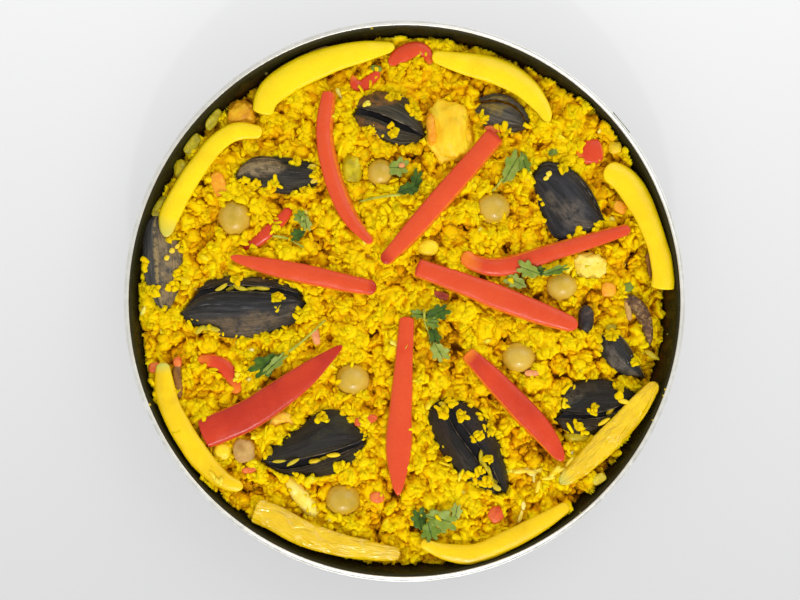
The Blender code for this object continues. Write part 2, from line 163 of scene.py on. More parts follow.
def gather(points, faces, shape, shapeFaces):
    # adds one closed shape to the points and faces of a joined mesh
    start = len(points)
    points += list(shape)
    faces += [tuple(start + corner for corner in face) for face in shapeFaces]


def turned(points, angle):
    # points turned about the upright axis
    cosine, sine = math.cos(angle), math.sin(angle)
    x, y = points[:, 0], points[:, 1]
    return np.column_stack([x * cosine - y * sine, x * sine + y * cosine, points[:, 2]])


def treeOf(things):
    # one ray-cast tree, in millimetres, over several objects
    points, faces = [], []
    for thing in things:
        start = len(points)
        points += [vert.co / mm for vert in thing.data.vertices]
        faces += [[start + index for index in face.vertices] for face in thing.data.polygons]
    return BVHTree.FromPolygons(points, faces)


def topAt(tree, x, y, missing=None):
    hit = tree.ray_cast(Vector((x, y, 200.0)), Vector((0, 0, -1)))[0]
    return missing if hit is None else hit.z


def topGrid(tree, axis):
    # height of the first thing met at each sample, and nan where there is nothing
    return np.array([[topAt(tree, x, y, np.nan) for y in axis] for x in axis])


def tubeAlong(line, across, upright, sides):
    # a round limb along a 3-D line; across and upright are its half sizes at each station
    line = np.array(line)
    ahead = np.gradient(line, axis=0)
    ahead /= np.linalg.norm(ahead, axis=1)[:, None]
    side = np.cross([0, 0, 1.0], ahead)
    side /= np.maximum(np.linalg.norm(side, axis=1), 1e-6)[:, None]
    over = np.cross(ahead, side)
    turn = 2 * np.pi * np.arange(sides) / sides
    rings = (line[:, None, :]
             + (across[:, None] * np.cos(turn))[:, :, None] * side[:, None, :]
             + (upright[:, None] * np.sin(turn))[:, :, None] * over[:, None, :])
    points = np.vstack([rings.reshape(-1, 3), line[:1], line[-1:]])
    count = len(line)
    faces = gridFaces(count, sides)
    for j in range(sides):
        k = (j + 1) % sides
        faces.append((count * sides, k, j))
        faces.append((count * sides + 1, (count - 1) * sides + j, (count - 1) * sides + k))
    return points, faces


# small helpers for materials

def newFinish(name, colour, roughness, **sockets):
    material = bpy.data.materials.new(name)
    material.use_nodes = True
    shader = material.node_tree.nodes["Principled BSDF"]
    shader.inputs["Base Color"].default_value = (*colour, 1.0)
    shader.inputs["Roughness"].default_value = roughness
    for socket, value in sockets.items():
        shader.inputs[socket.replace("_", " ")].default_value = value
    return material, material.node_tree, shader


def soft(weight, radius, scale):
    # light that enters the surface and comes out again a little further on
    return {"Subsurface_Weight": weight, "Subsurface_Radius": radius, "Subsurface_Scale": scale}


def noiseOf(tree, scale, detail=3.0, roughness=0.55, stretch=None, distortion=0.0, place=None):
    # noise over the piece's own metres, or over a place; stretch squeezes it along an axis
    texture = tree.nodes.new("ShaderNodeTexNoise")
    texture.inputs["Scale"].default_value = scale
    texture.inputs["Detail"].default_value = detail
    texture.inputs["Roughness"].default_value = roughness
    texture.inputs["Distortion"].default_value = distortion
    if place is None:
        place = tree.nodes.new("ShaderNodeTexCoord").outputs["Object"]
    if stretch is not None:
        mapping = tree.nodes.new("ShaderNodeMapping")
        mapping.inputs["Scale"].default_value = stretch
        tree.links.new(place, mapping.inputs["Vector"])
        place = mapping.outputs["Vector"]
    tree.links.new(place, texture.inputs["Vector"])
    return texture.outputs["Fac"]


def shareOf(tree, axis, start, end):
    # 0 at the start to 1 at the end along one axis of the piece
    place = tree.nodes.new("ShaderNodeTexCoord")
    split = tree.nodes.new("ShaderNodeSeparateXYZ")
    tree.links.new(place.outputs["Object"], split.inputs["Vector"])
    share = tree.nodes.new("ShaderNodeMapRange")
    share.inputs["From Min"].default_value = start
    share.inputs["From Max"].default_value = end
    tree.links.new(split.outputs[axis], share.inputs["Value"])
    return share.outputs["Result"]


def rampOf(tree, factor, stops):
    ramp = tree.nodes.new("ShaderNodeValToRGB")
    marks = ramp.color_ramp.elements
    while len(marks) < len(stops):
        marks.new(0.5)
    for mark, (place, colour) in zip(marks, stops):
        mark.position = place
        mark.color = (*colour, 1.0) if len(colour) == 3 else colour
    tree.links.new(factor, ramp.inputs["Fac"])
    return ramp.outputs["Color"]


def greyRamp(tree, factor, stops):
    return rampOf(tree, factor, [(place, (grey, grey, grey)) for place, grey in stops])


def mixOf(tree, factor, first, second, kind="MIX"):
    mix = tree.nodes.new("ShaderNodeMix")
    mix.data_type = "RGBA"
    mix.blend_type = kind
    for socket, value in ((mix.inputs["Factor"], factor), (mix.inputs["A"], first),
                          (mix.inputs["B"], second)):
        sockets = [one for one in mix.inputs if one.name == socket.name and one.enabled]
        target = sockets[0]
        if isinstance(value, bpy.types.NodeSocket):
            tree.links.new(value, target)
        elif isinstance(value, (int, float)):
            target.default_value = value
        else:
            target.default_value = (*value, 1.0)
    return [one for one in mix.outputs if one.enabled][0]


def mathOf(tree, kind, first, second):
    node = tree.nodes.new("ShaderNodeMath")
    node.operation = kind
    for index, value in enumerate((first, second)):
        if isinstance(value, bpy.types.NodeSocket):
            tree.links.new(value, node.inputs[index])
        else:
            node.inputs[index].default_value = value
    return node.outputs["Value"]


def markOf(tree, name):
    node = tree.nodes.new("ShaderNodeAttribute")
    node.attribute_name = name
    return node.outputs["Fac"]


def lengthwise(tree, across, along, shift=0.0):
    # the place for a noise that follows a piece's own across and along marks
    place = tree.nodes.new("ShaderNodeCombineXYZ")
    tree.links.new(mathOf(tree, "MULTIPLY", markOf(tree, "across"), across), place.inputs["X"])
    tree.links.new(mathOf(tree, "MULTIPLY", markOf(tree, "along"), along), place.inputs["Y"])
    place.inputs["Z"].default_value = shift
    return place.outputs["Vector"]


def swingOf(tree, amount, scale, detail, distortion=0.0):
    # noise that swings about zero, times an amount
    centred = mathOf(tree, "SUBTRACT", noiseOf(tree, scale, detail, distortion=distortion), 0.5)
    return mathOf(tree, "MULTIPLY", centred, amount)


def paint(tree, shader, tint, gloss=None):
    # gloss is a noise's scale and detail, then the least and the greatest roughness
    tree.links.new(tint, shader.inputs["Base Color"])
    if gloss:
        scale, detail, smooth, dull = gloss
        rough = greyRamp(tree, noiseOf(tree, scale, detail), [(0.3, smooth), (0.7, dull)])
        tree.links.new(rough, shader.inputs["Roughness"])


def bumpOf(tree, shader, height, strength, distance):
    # relief on the surface; several of them stack
    bump = tree.nodes.new("ShaderNodeBump")
    bump.inputs["Strength"].default_value = strength
    bump.inputs["Distance"].default_value = distance
    socket = shader.inputs["Normal"]
    if socket.is_linked:
        tree.links.new(socket.links[0].from_socket, bump.inputs["Normal"])
    tree.links.new(height, bump.inputs["Height"])
    tree.links.new(bump.outputs["Normal"], socket)


def mottled(name, colour, roughness, size, stops, relief, gloss=None, **sockets):
    # colour that follows a noise of a given scale and detail; relief is scale, detail, strength, depth
    finish, tree, shader = newFinish(name, colour, roughness, **sockets)
    paint(tree, shader, rampOf(tree, noiseOf(tree, *size), stops), gloss)
    bumpOf(tree, shader, noiseOf(tree, *relief[:2]), *relief[2:])
    return finish


# camera, light and floor

view = {
    "height": 3.954,        # above the rim, in rim radii
    "offCentre": (-0.016, 0.0035),
    "lens": 50.0,
}
studio = {
    "sides": 0.86,          # even light from all round, and from straight above
    "above": 0.62,
    "key": dict(place=(0.1, -1.35, 1.0), size=(1.3, 0.7), power=9.0),
    "spark": dict(place=(0.05, -1.2, 1.15), size=(0.10, 0.07), power=5.5),
    "fill": dict(place=(1.0, 1.1, 1.3), size=(1.4, 1.4), power=9.0),
    "floor": (0.30, 0.30, 0.303),
    "floorGlow": (0.37, 0.58),      # own light of the floor, near the viewer and far from them
    "floorReach": 0.2,              # how far from the middle it stops changing, in metres
}


def addCamera():
    camera = bpy.data.objects.new("tableCamera", bpy.data.cameras.new("tableCamera"))
    camera.data.lens = view["lens"]
    camera.location = (view["offCentre"][0] * rimRadius * mm, view["offCentre"][1] * rimRadius * mm,
                       (rimHeight + view["height"] * rimRadius) * mm)
    bpy.context.scene.collection.objects.link(camera)
    bpy.context.scene.camera = camera


def addStudio():
    world = bpy.data.worlds.new("paleRoom")
    world.use_nodes = True
    tree = world.node_tree
    background = tree.nodes["Background"]
    place = tree.nodes.new("ShaderNodeTexCoord")
    split = tree.nodes.new("ShaderNodeSeparateXYZ")
    tree.links.new(place.outputs["Generated"], split.inputs["Vector"])
    tint = greyRamp(tree, split.outputs["Z"], [(0.0, studio["sides"]), (0.60, studio["sides"]),
                                               (0.88, studio["above"]), (1.0, studio["above"])])
    tree.links.new(tint, background.inputs["Color"])
    background.inputs["Strength"].default_value = 1.0
    bpy.context.scene.world = world
    for name in ("key", "spark", "fill"):
        lamp = bpy.data.lights.new(name, "AREA")
        lamp.shape = "RECTANGLE"
        lamp.size, lamp.size_y = studio[name]["size"]
        lamp.energy = studio[name]["power"]
        light = bpy.data.objects.new(name, lamp)
        light.location = studio[name]["place"]
        light.rotation_euler = (-Vector(light.location)).to_track_quat("-Z", "Y").to_euler()
        bpy.context.scene.collection.objects.link(light)
    bpy.context.scene.view_settings.view_transform = "Standard"


def addFloor():
    floorPaint, tree, shader = newFinish("paleFloor", studio["floor"], 0.8, Specular_IOR_Level=0.1,
                                         Emission_Strength=1.0)
    near, far = studio["floorGlow"]
    reach = studio["floorReach"]
    glow = greyRamp(tree, shareOf(tree, "Y", -reach, reach), [(0.0, near), (1.0, far)])
    tree.links.new(glow, shader.inputs["Emission Color"])
    shape = bmesh.new()
    bmesh.ops.create_grid(shape, x_segments=4, y_segments=4, size=3.0)
    mesh = bpy.data.meshes.new("paleFloor")
    shape.to_mesh(mesh)
    shape.free()
    mesh.materials.append(floorPaint)
    floor = bpy.data.objects.new("paleFloor", mesh)
    bpy.context.scene.collection.objects.link(floor)


addCamera()
addStudio()
addFloor()
print("camera, light and floor ready")


# the pan

pan = {
    "lipWidth": 3.0, "lipDepth": 2.4, "lipStep": 0.8,
    "flare": math.radians(14.0),
    "corner": 9.0, "floor": 4.0,
    "turns": 192,           # points round the pan
    "baseRings": (40, 58, 76, 94), "ringHalf": 1.2, "baseLift": 0.35, "hub": 6.0,
    "edgeDrop": 0.8,        # how far below the rim the coat ends
    "wallSteps": 7, "footSteps": 8,
}


def wallRadius(height):
    return rimRadius - pan["lipWidth"] - (rimHeight - height) * math.tan(pan["flare"])


def footArc(radius, height, corner, steps):
    lean = math.pi / 2 - pan["flare"]
    start = radius - corner * math.tan(lean / 2)
    return [(start + corner * math.sin(lean * i / steps),
             height + corner * (1 - math.cos(lean * i / steps))) for i in range(steps + 1)]


def lathe(profile, turns, capped=True):
    points = []
    for radius, height in profile:
        for i in range(turns):
            angle = 2 * math.pi * i / turns
            points.append((radius * math.cos(angle), radius * math.sin(angle), height))
    faces = gridFaces(len(profile), turns, closed=True)
    if capped:
        closeEnds(faces, len(points), turns)
    return points, faces


def coatFinish():
    finish, tree, shader = newFinish("darkCoat", (0.02, 0.017, 0.007), 0.3, Specular_IOR_Level=0.22)
    level = shareOf(tree, "Z", (rimHeight - 18) * mm, (rimHeight - 4) * mm)
    tintShare = mathOf(tree, "ADD", level, swingOf(tree, 1.4, 140.0, 5.0))       # browner lower on the wall, near the food, less towards the rim
    wallTint = rampOf(tree, tintShare, [(0.0, (0.060, 0.025, 0.003)), (0.35, (0.028, 0.018, 0.003)),
                                  (0.7, (0.016, 0.014, 0.004)), (1.0, (0.022, 0.020, 0.005))])
    tint = mixOf(tree, markOf(tree, "outside"), wallTint, (0.017, 0.017, 0.018))    # plain, without the brown tint
    paint(tree, shader, tint, gloss=(220.0, 4.0, 0.2, 0.42))
    bumpOf(tree, shader, noiseOf(tree, 1800.0, 2.0), 0.12, 0.0004)
    return finish


def lipFinish():
    finish, tree, shader = newFinish("bareLip", (0.86, 0.85, 0.80), 0.34, Metallic=1.0)
    tint = rampOf(tree, noiseOf(tree, 60.0, 4.0), [(0.3, (0.80, 0.79, 0.72)), (0.7, (0.93, 0.92, 0.87))])
    paint(tree, shader, tint, gloss=(300.0, 4.0, 0.26, 0.48))
    bumpOf(tree, shader, noiseOf(tree, 1200.0, 2.0, stretch=(1, 1, 6)), 0.08, 0.0003)
    return finish


def addPan():
    step, lip = pan["lipStep"], pan["lipWidth"]
    underLip = rimHeight - pan["lipDepth"]
    outerFoot = rimRadius - step - rimHeight * math.tan(pan["flare"])
    lift, half = pan["baseLift"], pan["ringHalf"]
    profile = [(pan["hub"], lift)]
    for ring in pan["baseRings"]:
        profile += [(ring - half, lift), (ring, 0.0), (ring + half, lift)]
    foot = footArc(outerFoot, 0.0, pan["corner"] + lip - step, pan["footSteps"])
    profile += [(foot[0][0] - 14.0, lift), (foot[0][0] - 12.0, 0.0)] + foot
    wallTop = rimRadius - step - pan["lipDepth"] * math.tan(pan["flare"])
    edge = rimHeight - pan["edgeDrop"]
    profile += [(wallTop, underLip), (wallTop, underLip + 0.3), (wallRadius(edge) + 0.2, edge)]
    for i in range(pan["wallSteps"]):
        profile.append((wallRadius(edge - i * 5.0), edge - i * 5.0))
    profile += reversed(footArc(wallRadius(pan["floor"]), pan["floor"], pan["corner"], pan["footSteps"]))
    profile.append((pan["hub"], pan["floor"]))
    points, faces = lathe(profile, pan["turns"])
    points = np.array(points)
    outside = np.hypot(points[:, 0], points[:, 1]) > wallRadius(points[:, 2]) + 1.0
    outside |= points[:, 2] < pan["floor"] - 0.2
    addPiece("panCoat", points, faces, [coatFinish()], ["pan"],
             marks={"outside": outside.astype(float)})

    inner = wallRadius(rimHeight)
    band = [(inner + 0.25, rimHeight - 0.95), (inner, rimHeight - 0.7), (inner + 0.05, rimHeight - 0.25),
            (inner + 0.35, rimHeight), (inner + 0.85, rimHeight), (inner + 1.1, rimHeight - 0.22),
            (rimRadius - 0.75, rimHeight - 0.22), (rimRadius - 0.4, rimHeight - 0.05),
            (rimRadius - 0.1, rimHeight - 0.35), (rimRadius, rimHeight - 0.9),
            (rimRadius, underLip + step + 0.2), (rimRadius - 0.25, underLip + 0.45),
            (wallTop + 0.05, underLip + 0.1)]
    points, faces = lathe(band, pan["turns"], capped=False)
    last = (len(band) - 1) * pan["turns"]
    for i in range(pan["turns"]):      # closes the band underneath
        k = (i + 1) % pan["turns"]
        faces.append((i, k, last + k, last + i))
    addPiece("panLip", points, faces, [lipFinish()], ["pan"])


lug = {"width": 14.5, "reach": 2.0, "waist": 0.25, "rivet": 2.2, "rivetUp": 4.5}


def addLug():
    finish = mottled("lugCoat", (0.10, 0.105, 0.05), 0.45, (250.0, 4.0),
                     [(0.3, (0.05, 0.05, 0.018)), (0.7, (0.15, 0.16, 0.075))], (900.0, 3.0, 0.2, 0.0004))
    low, high = roomOf("handle_lug")
    middle = (low + high) / 2
    bearing = math.atan2(middle[1], middle[0])
    tall = high[2] - low[2]
    outside = rimRadius + lug["reach"]

    def wallOut(height):
        return rimRadius - pan["lipStep"] - (rimHeight - height) * math.tan(pan["flare"]) + 0.4

    # bent plate: a ledge under the lip, then a leg down the wall
    section = [(wallOut(high[2]), high[2]), (outside - 0.6, high[2]), (outside, high[2] - 0.6),
               (outside, high[2] - 2.6), (outside - 0.5, high[2] - 3.4),
               (wallOut(high[2] - 8) + 2.2, high[2] - 8), (wallOut(low[2]) + 1.9, low[2] + 0.5),
               (wallOut(low[2]) + 1.4, low[2]), (wallOut(low[2]), low[2]),
               (wallOut(high[2] - 8), high[2] - 8)]
    points, columns = [], len(section)
    stops = [-0.5, -0.47, -0.3, 0.0, 0.3, 0.47, 0.5]
    for across in stops:
        for radius, height in section:
            waist = 1.0 - lug["waist"] * (high[2] - height) / tall      # the leg narrows downwards
            y = across * lug["width"] * waist
            points.append((radius * math.cos(bearing) - y * math.sin(bearing),
                           radius * math.sin(bearing) + y * math.cos(bearing), height))
    faces = gridFaces(len(stops), columns)
    closeEnds(faces, len(points), columns)
    ball, ballFaces = ballGrid(8, 16)
    ball = ball * np.array([0.9, lug["rivet"], lug["rivet"]])
    height = low[2] + lug["rivetUp"]
    ball = ball + np.array([wallOut(height) + 2.0, 0, height])
    gather(points, faces, turned(ball, bearing), ballFaces)
    points = seatIn(np.array(points), "handle_lug")
    addPiece("handleLug", points, faces, [finish], ["handle_lug"])


addPan()
addLug()
print("pan turned, lip and lug added")


# level of the rice, read from the CAD heap, so that toppings can be set on it

heap = {"cell": 1.0, "tops": 1.9}      # spacing of the samples, and clump tops above the CAD heap


def heapSamples():
    # smooth level of the CAD heap on a grid, with the seats under the toppings filled in
    reach = math.ceil(rimRadius)
    axis = np.arange(-reach, reach + 0.5, heap["cell"])
    tree = treeOf([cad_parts["rice"]])
    level = topGrid(tree, axis)
    covered = np.zeros(level.shape, bool)
    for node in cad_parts:
        if node in ("pan", "rice", "handle_lug"):
            continue
        low, high = roomOf(node)
        cover = treeOf([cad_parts[node]])
        for i in np.flatnonzero((axis > low[0] - 2) & (axis < high[0] + 2)):
            for j in np.flatnonzero((axis > low[1] - 2) & (axis < high[1] + 2)):
                x, y = axis[i], axis[j]
                near = cover.find_nearest(Vector((x, y, level[i, j] if level[i, j] > 0 else 40.0)))[0]
                if near is not None and math.hypot(near.x - x, near.y - y) < 1.2:
                    covered[i, j] = True
    inside = np.isfinite(level)
    known = inside & ~covered
    filled = np.where(known, level, 0.0)
    weight = known.astype(float)
    for _ in range(60):                     # spreads known levels under the toppings
        spread = sum(np.roll(filled, step, side) for step in (1, -1) for side in (0, 1))
        share = sum(np.roll(weight, step, side) for step in (1, -1) for side in (0, 1))
        filled = np.where(known, level, np.where(share > 0, spread / np.maximum(share, 1e-9), 0.0))
        weight = np.where(known, 1.0, (share > 0).astype(float))
    for _ in range(4):
        filled = (filled * 4 + sum(np.roll(filled, step, side) for step in (1, -1) for side in (0, 1))) / 8
    return axis, np.where(inside, filled, np.nan)


def readUnder(grid, spots):
    # a grid's values at spots, with the middle one where a spot has none
    values = readGrid(grid, spots[:, 0], spots[:, 1])
    return np.where(np.isfinite(values), values, np.nanmedian(values))


def readGrid(grid, x, y):
    i = np.clip(np.round((x - heapAxis[0]) / heap["cell"]).astype(int), 0, len(heapAxis) - 1)
    j = np.clip(np.round((y - heapAxis[0]) / heap["cell"]).astype(int), 0, len(heapAxis) - 1)
    return grid[i, j]


heapAxis, heapLevel = heapSamples()
heapLevel = heapLevel + heap["tops"]
print("rice level read from the frame")


# pepper strips: a skinned slab swept along a route given in shares of its CAD room

redPepper = {
    "thickness": 4.3, "bow": 1.4, "stations": 64,
    # each strip's shading value is painted shade: how much darker its skin is painted
    "strips": {
        "red_pepper_1": dict(
            route=[(.21, 1), (.13, .75), (.21, .53), (.39, .32), (.61, .16), (.96, .01)],
            width=(8, 10.5, 11, 11, 10, 5), cut=(-1.0, 2.2), ends=(2, 3), paintedShading=.10),
        "red_pepper_2": dict(
            route=[(.95, .96), (.74, .74), (.28, .27), (.04, .04)],
            width=(12, 13, 13, 12, 8), cut=(-0.6, 1.7), ends=(1.5, 4), tip=(4, 9), paintedShading=.05),
        "red_pepper_3": dict(
            route=[(.99, .92), (.58, .5), (.26, .18), (.09, .26), (.03, .46)],
            width=(7, 10, 11, 12, 10), cut=(1.5, 0.6), ends=(3, 5), blush=(0, 18), paintedShading=.30),
        "red_pepper_4": dict(
            route=[(.01, .90), (.34, .63), (.67, .34), (.99, .08)],
            width=(11, 13, 15, 14, 9), cut=(1.2, -0.6), ends=(1.5, 6), tip=(3, 0), paintedShading=.15),
        "red_pepper_5": dict(
            route=[(.05, .96), (.28, .75), (.55, .49), (.78, .26), (.95, .03)],
            width=(9, 13, 15, 14, 6), cut=(1.4, -0.6), ends=(1.5, 6), blush=(8, 0), paintedShading=.55),
        "red_pepper_6": dict(
            route=[(.77, 1), (.62, .65), (.48, .31), (.45, 0)],
            width=(9, 11, 14, 16, 5), cut=(0.9, 0.6), ends=(2, 7), paintedShading=.15),
        "red_pepper_7": dict(
            route=[(.04, .13), (.33, .3), (.51, .46), (.69, .64), (.85, .82), (.99, .98)],
            width=(18, 19.5, 19, 17, 12, 3), cut=(0.6, 0.5), ends=(1.2, 4), tip=(0, 12), paintedShading=.80),
        "red_pepper_8": dict(
            route=[(.01, .92), (.22, .72), (.51, .5), (.78, .28), (.99, .14)],
            width=(4, 10, 12, 11, 9), cut=(0.9, -0.6), ends=(5, 4), tip=(0, 7), paintedShading=.12),
        "red_pepper_bit_left": dict(
            route=[(.02, .86), (.44, .78), (.76, .51), (.9, .03)],
            width=(6, 10, 10, 7), cut=(0.5, 1.0), blush=(12, 14), paintedShading=.4),
        "red_pepper_bit_buried": dict(
            route=[(.93, .93), (.66, .58), (.27, .19), (.03, .08)],
            width=(6, 8, 8, 5), cut=(0.4, 0.6), tip=(3, 16), paintedShading=.5),
        "red_pepper_bit_right": dict(
            route=[(.06, .41), (.93, .59)],
            width=(10, 16, 15), cut=(0.8, 0.8), ends=(4, 3), blush=(5, 2), paintedShading=.35),
        "red_pepper_curl_low": dict(
            route=[(.15, .74), (.24, .35), (.47, .26), (.7, .52), (.97, .87)],
            width=(3, 7, 9, 7, 4), cut=(0.5, 0.5), blush=(6, 0), paintedShading=.5),
        "red_pepper_curl_high": dict(
            route=[(.06, .23), (.29, .53), (.57, .73), (.8, .67), (.94, .23)],
            width=(5, 10, 10.5, 8, 4), cut=(0.5, 0.5), blush=(0, 6), paintedShading=.3),
    },
}
yellowPepper = {
    "thickness": 4.8, "bow": 1.9, "stations": 76,
    # each strip's shading value is painted shade: how much darker its skin is painted
    "strips": {
        "yellow_pepper_1": dict(
            route=[(.06, .04), (.09, .26), (.18, .44), (.34, .62), (.54, .77), (.74, .87), (1, .96)],
            width=(13, 17.5, 18.5, 18, 16, 12.5, 6), cut=(-0.8, 1.0), ends=(2.5, 4), paintedShading=.05),
        "yellow_pepper_2": dict(
            route=[(.07, .01), (.09, .18), (.18, .35), (.3, .53), (.42, .68), (.56, .83), (.75, .93),
                   (1, .92)],
            width=(7, 13.5, 13.5, 13, 12.5, 12.5, 11.5, 8), cut=(-0.5, 1.2), ends=(5, 3), tip=(15, 0),
            paintedShading=.12),
        "yellow_pepper_3": dict(
            route=[(.01, .93), (.24, .84), (.53, .73), (.75, .54), (.91, .25), (.97, .02)],
            width=(7, 13.5, 16.5, 16, 12.5, 6), cut=(-0.5, 0.8), ends=(3, 5), paintedShading=.10),
        "yellow_pepper_4": dict(
            route=[(.08, .93), (.36, .83), (.57, .66), (.72, .47), (.83, .28), (.88, .12), (.86, 0)],
            width=(13, 17, 16.5, 14.5, 13, 14, 15), cut=(-0.5, 1.0), ends=(5, 2), paintedShading=.25),
        "yellow_pepper_5": dict(
            route=[(.97, .98), (.85, .82), (.69, .63), (.46, .4), (.23, .19), (.03, .04)],
            width=(7, 13, 15.5, 15.5, 13.5, 7), cut=(-0.5, 0.5), ends=(4, 5), tip=(0, 11), paintedShading=.60,
            wet=True),
        "yellow_pepper_6": dict(
            route=[(.01, .32), (.17, .17), (.37, .14), (.59, .37), (.81, .66), (.98, .93)],
            width=(6, 11.5, 12.5, 12.5, 11, 7), cut=(0.6, -0.5), ends=(2.5, 3), paintedShading=.55),
        "yellow_pepper_7": dict(
            route=[(.02, .86), (.15, .73), (.35, .46), (.59, .26), (.85, .13), (1, .08)],
            width=(15, 16.5, 16, 14.5, 12, 8), cut=(0.4, -0.5), ends=(1.5, 4), paintedShading=.60, wet=True),
        "yellow_pepper_8": dict(
            route=[(.07, 1), (.11, .75), (.25, .53), (.43, .33), (.58, .2), (.78, .08), (.98, .03)],
            width=(8, 13, 14, 14.5, 14, 11.5, 7), cut=(0.8, -0.5), ends=(3, 5), tip=(8, 0), paintedShading=.50),
    },
}


sweep = {       # how every strip is swept
    "closer": 0.85,                 # how much closer its stations lie at the ends
    "unevenWidth": 0.06, "twist": 0.10, "unevenness": 0.35,
    "droop": 1.4,                   # how far a rounded end sinks
    "wallGap": 0.5,
}


def skinFinish(name, bright, plain, deep, tip, blush, wet=False):
    # pepper skin, painted darker where the strip's shading mark is high (painted shade), with darker tips and
    # orange flesh where marked
    finish, tree, shader = newFinish(name, plain, 0.3, Specular_IOR_Level=0.6 if wet else 0.3,
                                     **soft(0.15, (1.0, 0.4, 0.1), 0.002))
    patch = swingOf(tree, 0.9, 42.0, 3.0, distortion=0.5)
    # painted shade: the strip's shading mark moves the skin towards the deep colour
    tint = rampOf(tree, mathOf(tree, "ADD", patch, markOf(tree, "paintedShading")),
                  [(0.0, bright), (0.45, plain), (1.0, deep)])
    uneven = swingOf(tree, 0.9, 160.0, 4.0)
    for mark, colour in (("blush", blush), ("tip", tip)):
        amount = greyRamp(tree, mathOf(tree, "ADD", markOf(tree, mark), mathOf(
            tree, "MULTIPLY", uneven, markOf(tree, mark))), [(0.15, 0.0), (0.85, 1.0)])
        tint = mixOf(tree, amount, tint, colour)
    paint(tree, shader, tint, gloss=(160.0, 4.0, 0.06, 0.22) if wet else (160.0, 4.0, 0.18, 0.36))
    bumpOf(tree, shader, noiseOf(tree, 95.0, 2.0), 0.35, 0.0012)
    if wet:         # streaks of shine along the strip
        streakAndSheen = noiseOf(tree, 1.3, 2.5, 0.5, distortion=0.6, place=lengthwise(tree, 2.6, 0.06))
        bumpOf(tree, shader, streakAndSheen, 0.8, 0.0040)
    else:
        bumpOf(tree, shader, noiseOf(tree, 700.0, 3.0), 0.12, 0.0004)
    return finish


def fleshFinish(name, deep, pale):
    finish, tree, shader = newFinish(name, pale, 0.45, Specular_IOR_Level=0.3)
    grain = noiseOf(tree, 380.0, 4.0)
    paint(tree, shader, rampOf(tree, grain, [(0.3, deep), (0.65, pale)]))
    bumpOf(tree, shader, grain, 0.25, 0.0006)
    return finish


def slabSection(half, bow, thickness, cutLeft, cutRight):
    # across and up; the top is skin, and a positive cut shows the cut side from above
    left, right = -half + max(cutLeft, 0), half - max(cutRight, 0)
    section = []
    for j in range(9):
        s = -1 + j / 4
        section.append(((left + right) / 2 + s * (right - left) / 2, bow * (1 - s * s) - bow))
    footRight = half if cutRight > 0 else half + cutRight
    footLeft = -half if cutLeft > 0 else -half - cutLeft
    section.append((right + 0.12 * (footRight - right), -bow - 0.06 * thickness))
    section.append((footRight, -bow - 0.50 * thickness))
    section.append((footRight - 0.5, -thickness - 0.2 * bow))
    section.append(((footLeft + footRight) / 2, -thickness + 0.5 * bow))
    section.append((footLeft + 0.5, -thickness - 0.2 * bow))
    section.append((footLeft, -bow - 0.50 * thickness))
    section.append((left + 0.12 * (footLeft - left), -bow - 0.06 * thickness))
    return section


def keepInWall(points, gap):
    # draws in what would reach through the pan's wall
    reach = np.hypot(points[:, 0], points[:, 1])
    room = wallRadius(np.minimum(points[:, 2], rimHeight)) - gap
    points[:, :2] *= np.minimum(1.0, room / np.maximum(reach, 1e-6))[:, None]


def topsAlong(node, line):
    # level of the CAD strip at each station, smoothed
    tree = treeOf([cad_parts[node]])
    tops = np.array([topAt(tree, x, y, np.nan) for x, y in line])
    known = np.isfinite(tops)
    stations = np.arange(len(tops))
    tops = np.interp(stations, stations[known], tops[known])
    for _ in range(6):
        tops[1:-1] = (tops[:-2] + tops[1:-1] * 2 + tops[2:]) / 4
    return tops


def endMarks(strip, fromStart, fromEnd, columns):
    # how dark a tip or how bare a blush is, from the strip's ends inwards
    marks = {}
    for mark in ("tip", "blush"):
        atStart, atEnd = strip.get(mark, (0, 0))
        amount = np.maximum(np.clip(1 - fromStart / max(atStart, 0.1), 0, 1),
                            np.clip(1 - fromEnd / max(atEnd, 0.1), 0, 1))
        marks[mark] = np.repeat(amount, columns)
    return marks


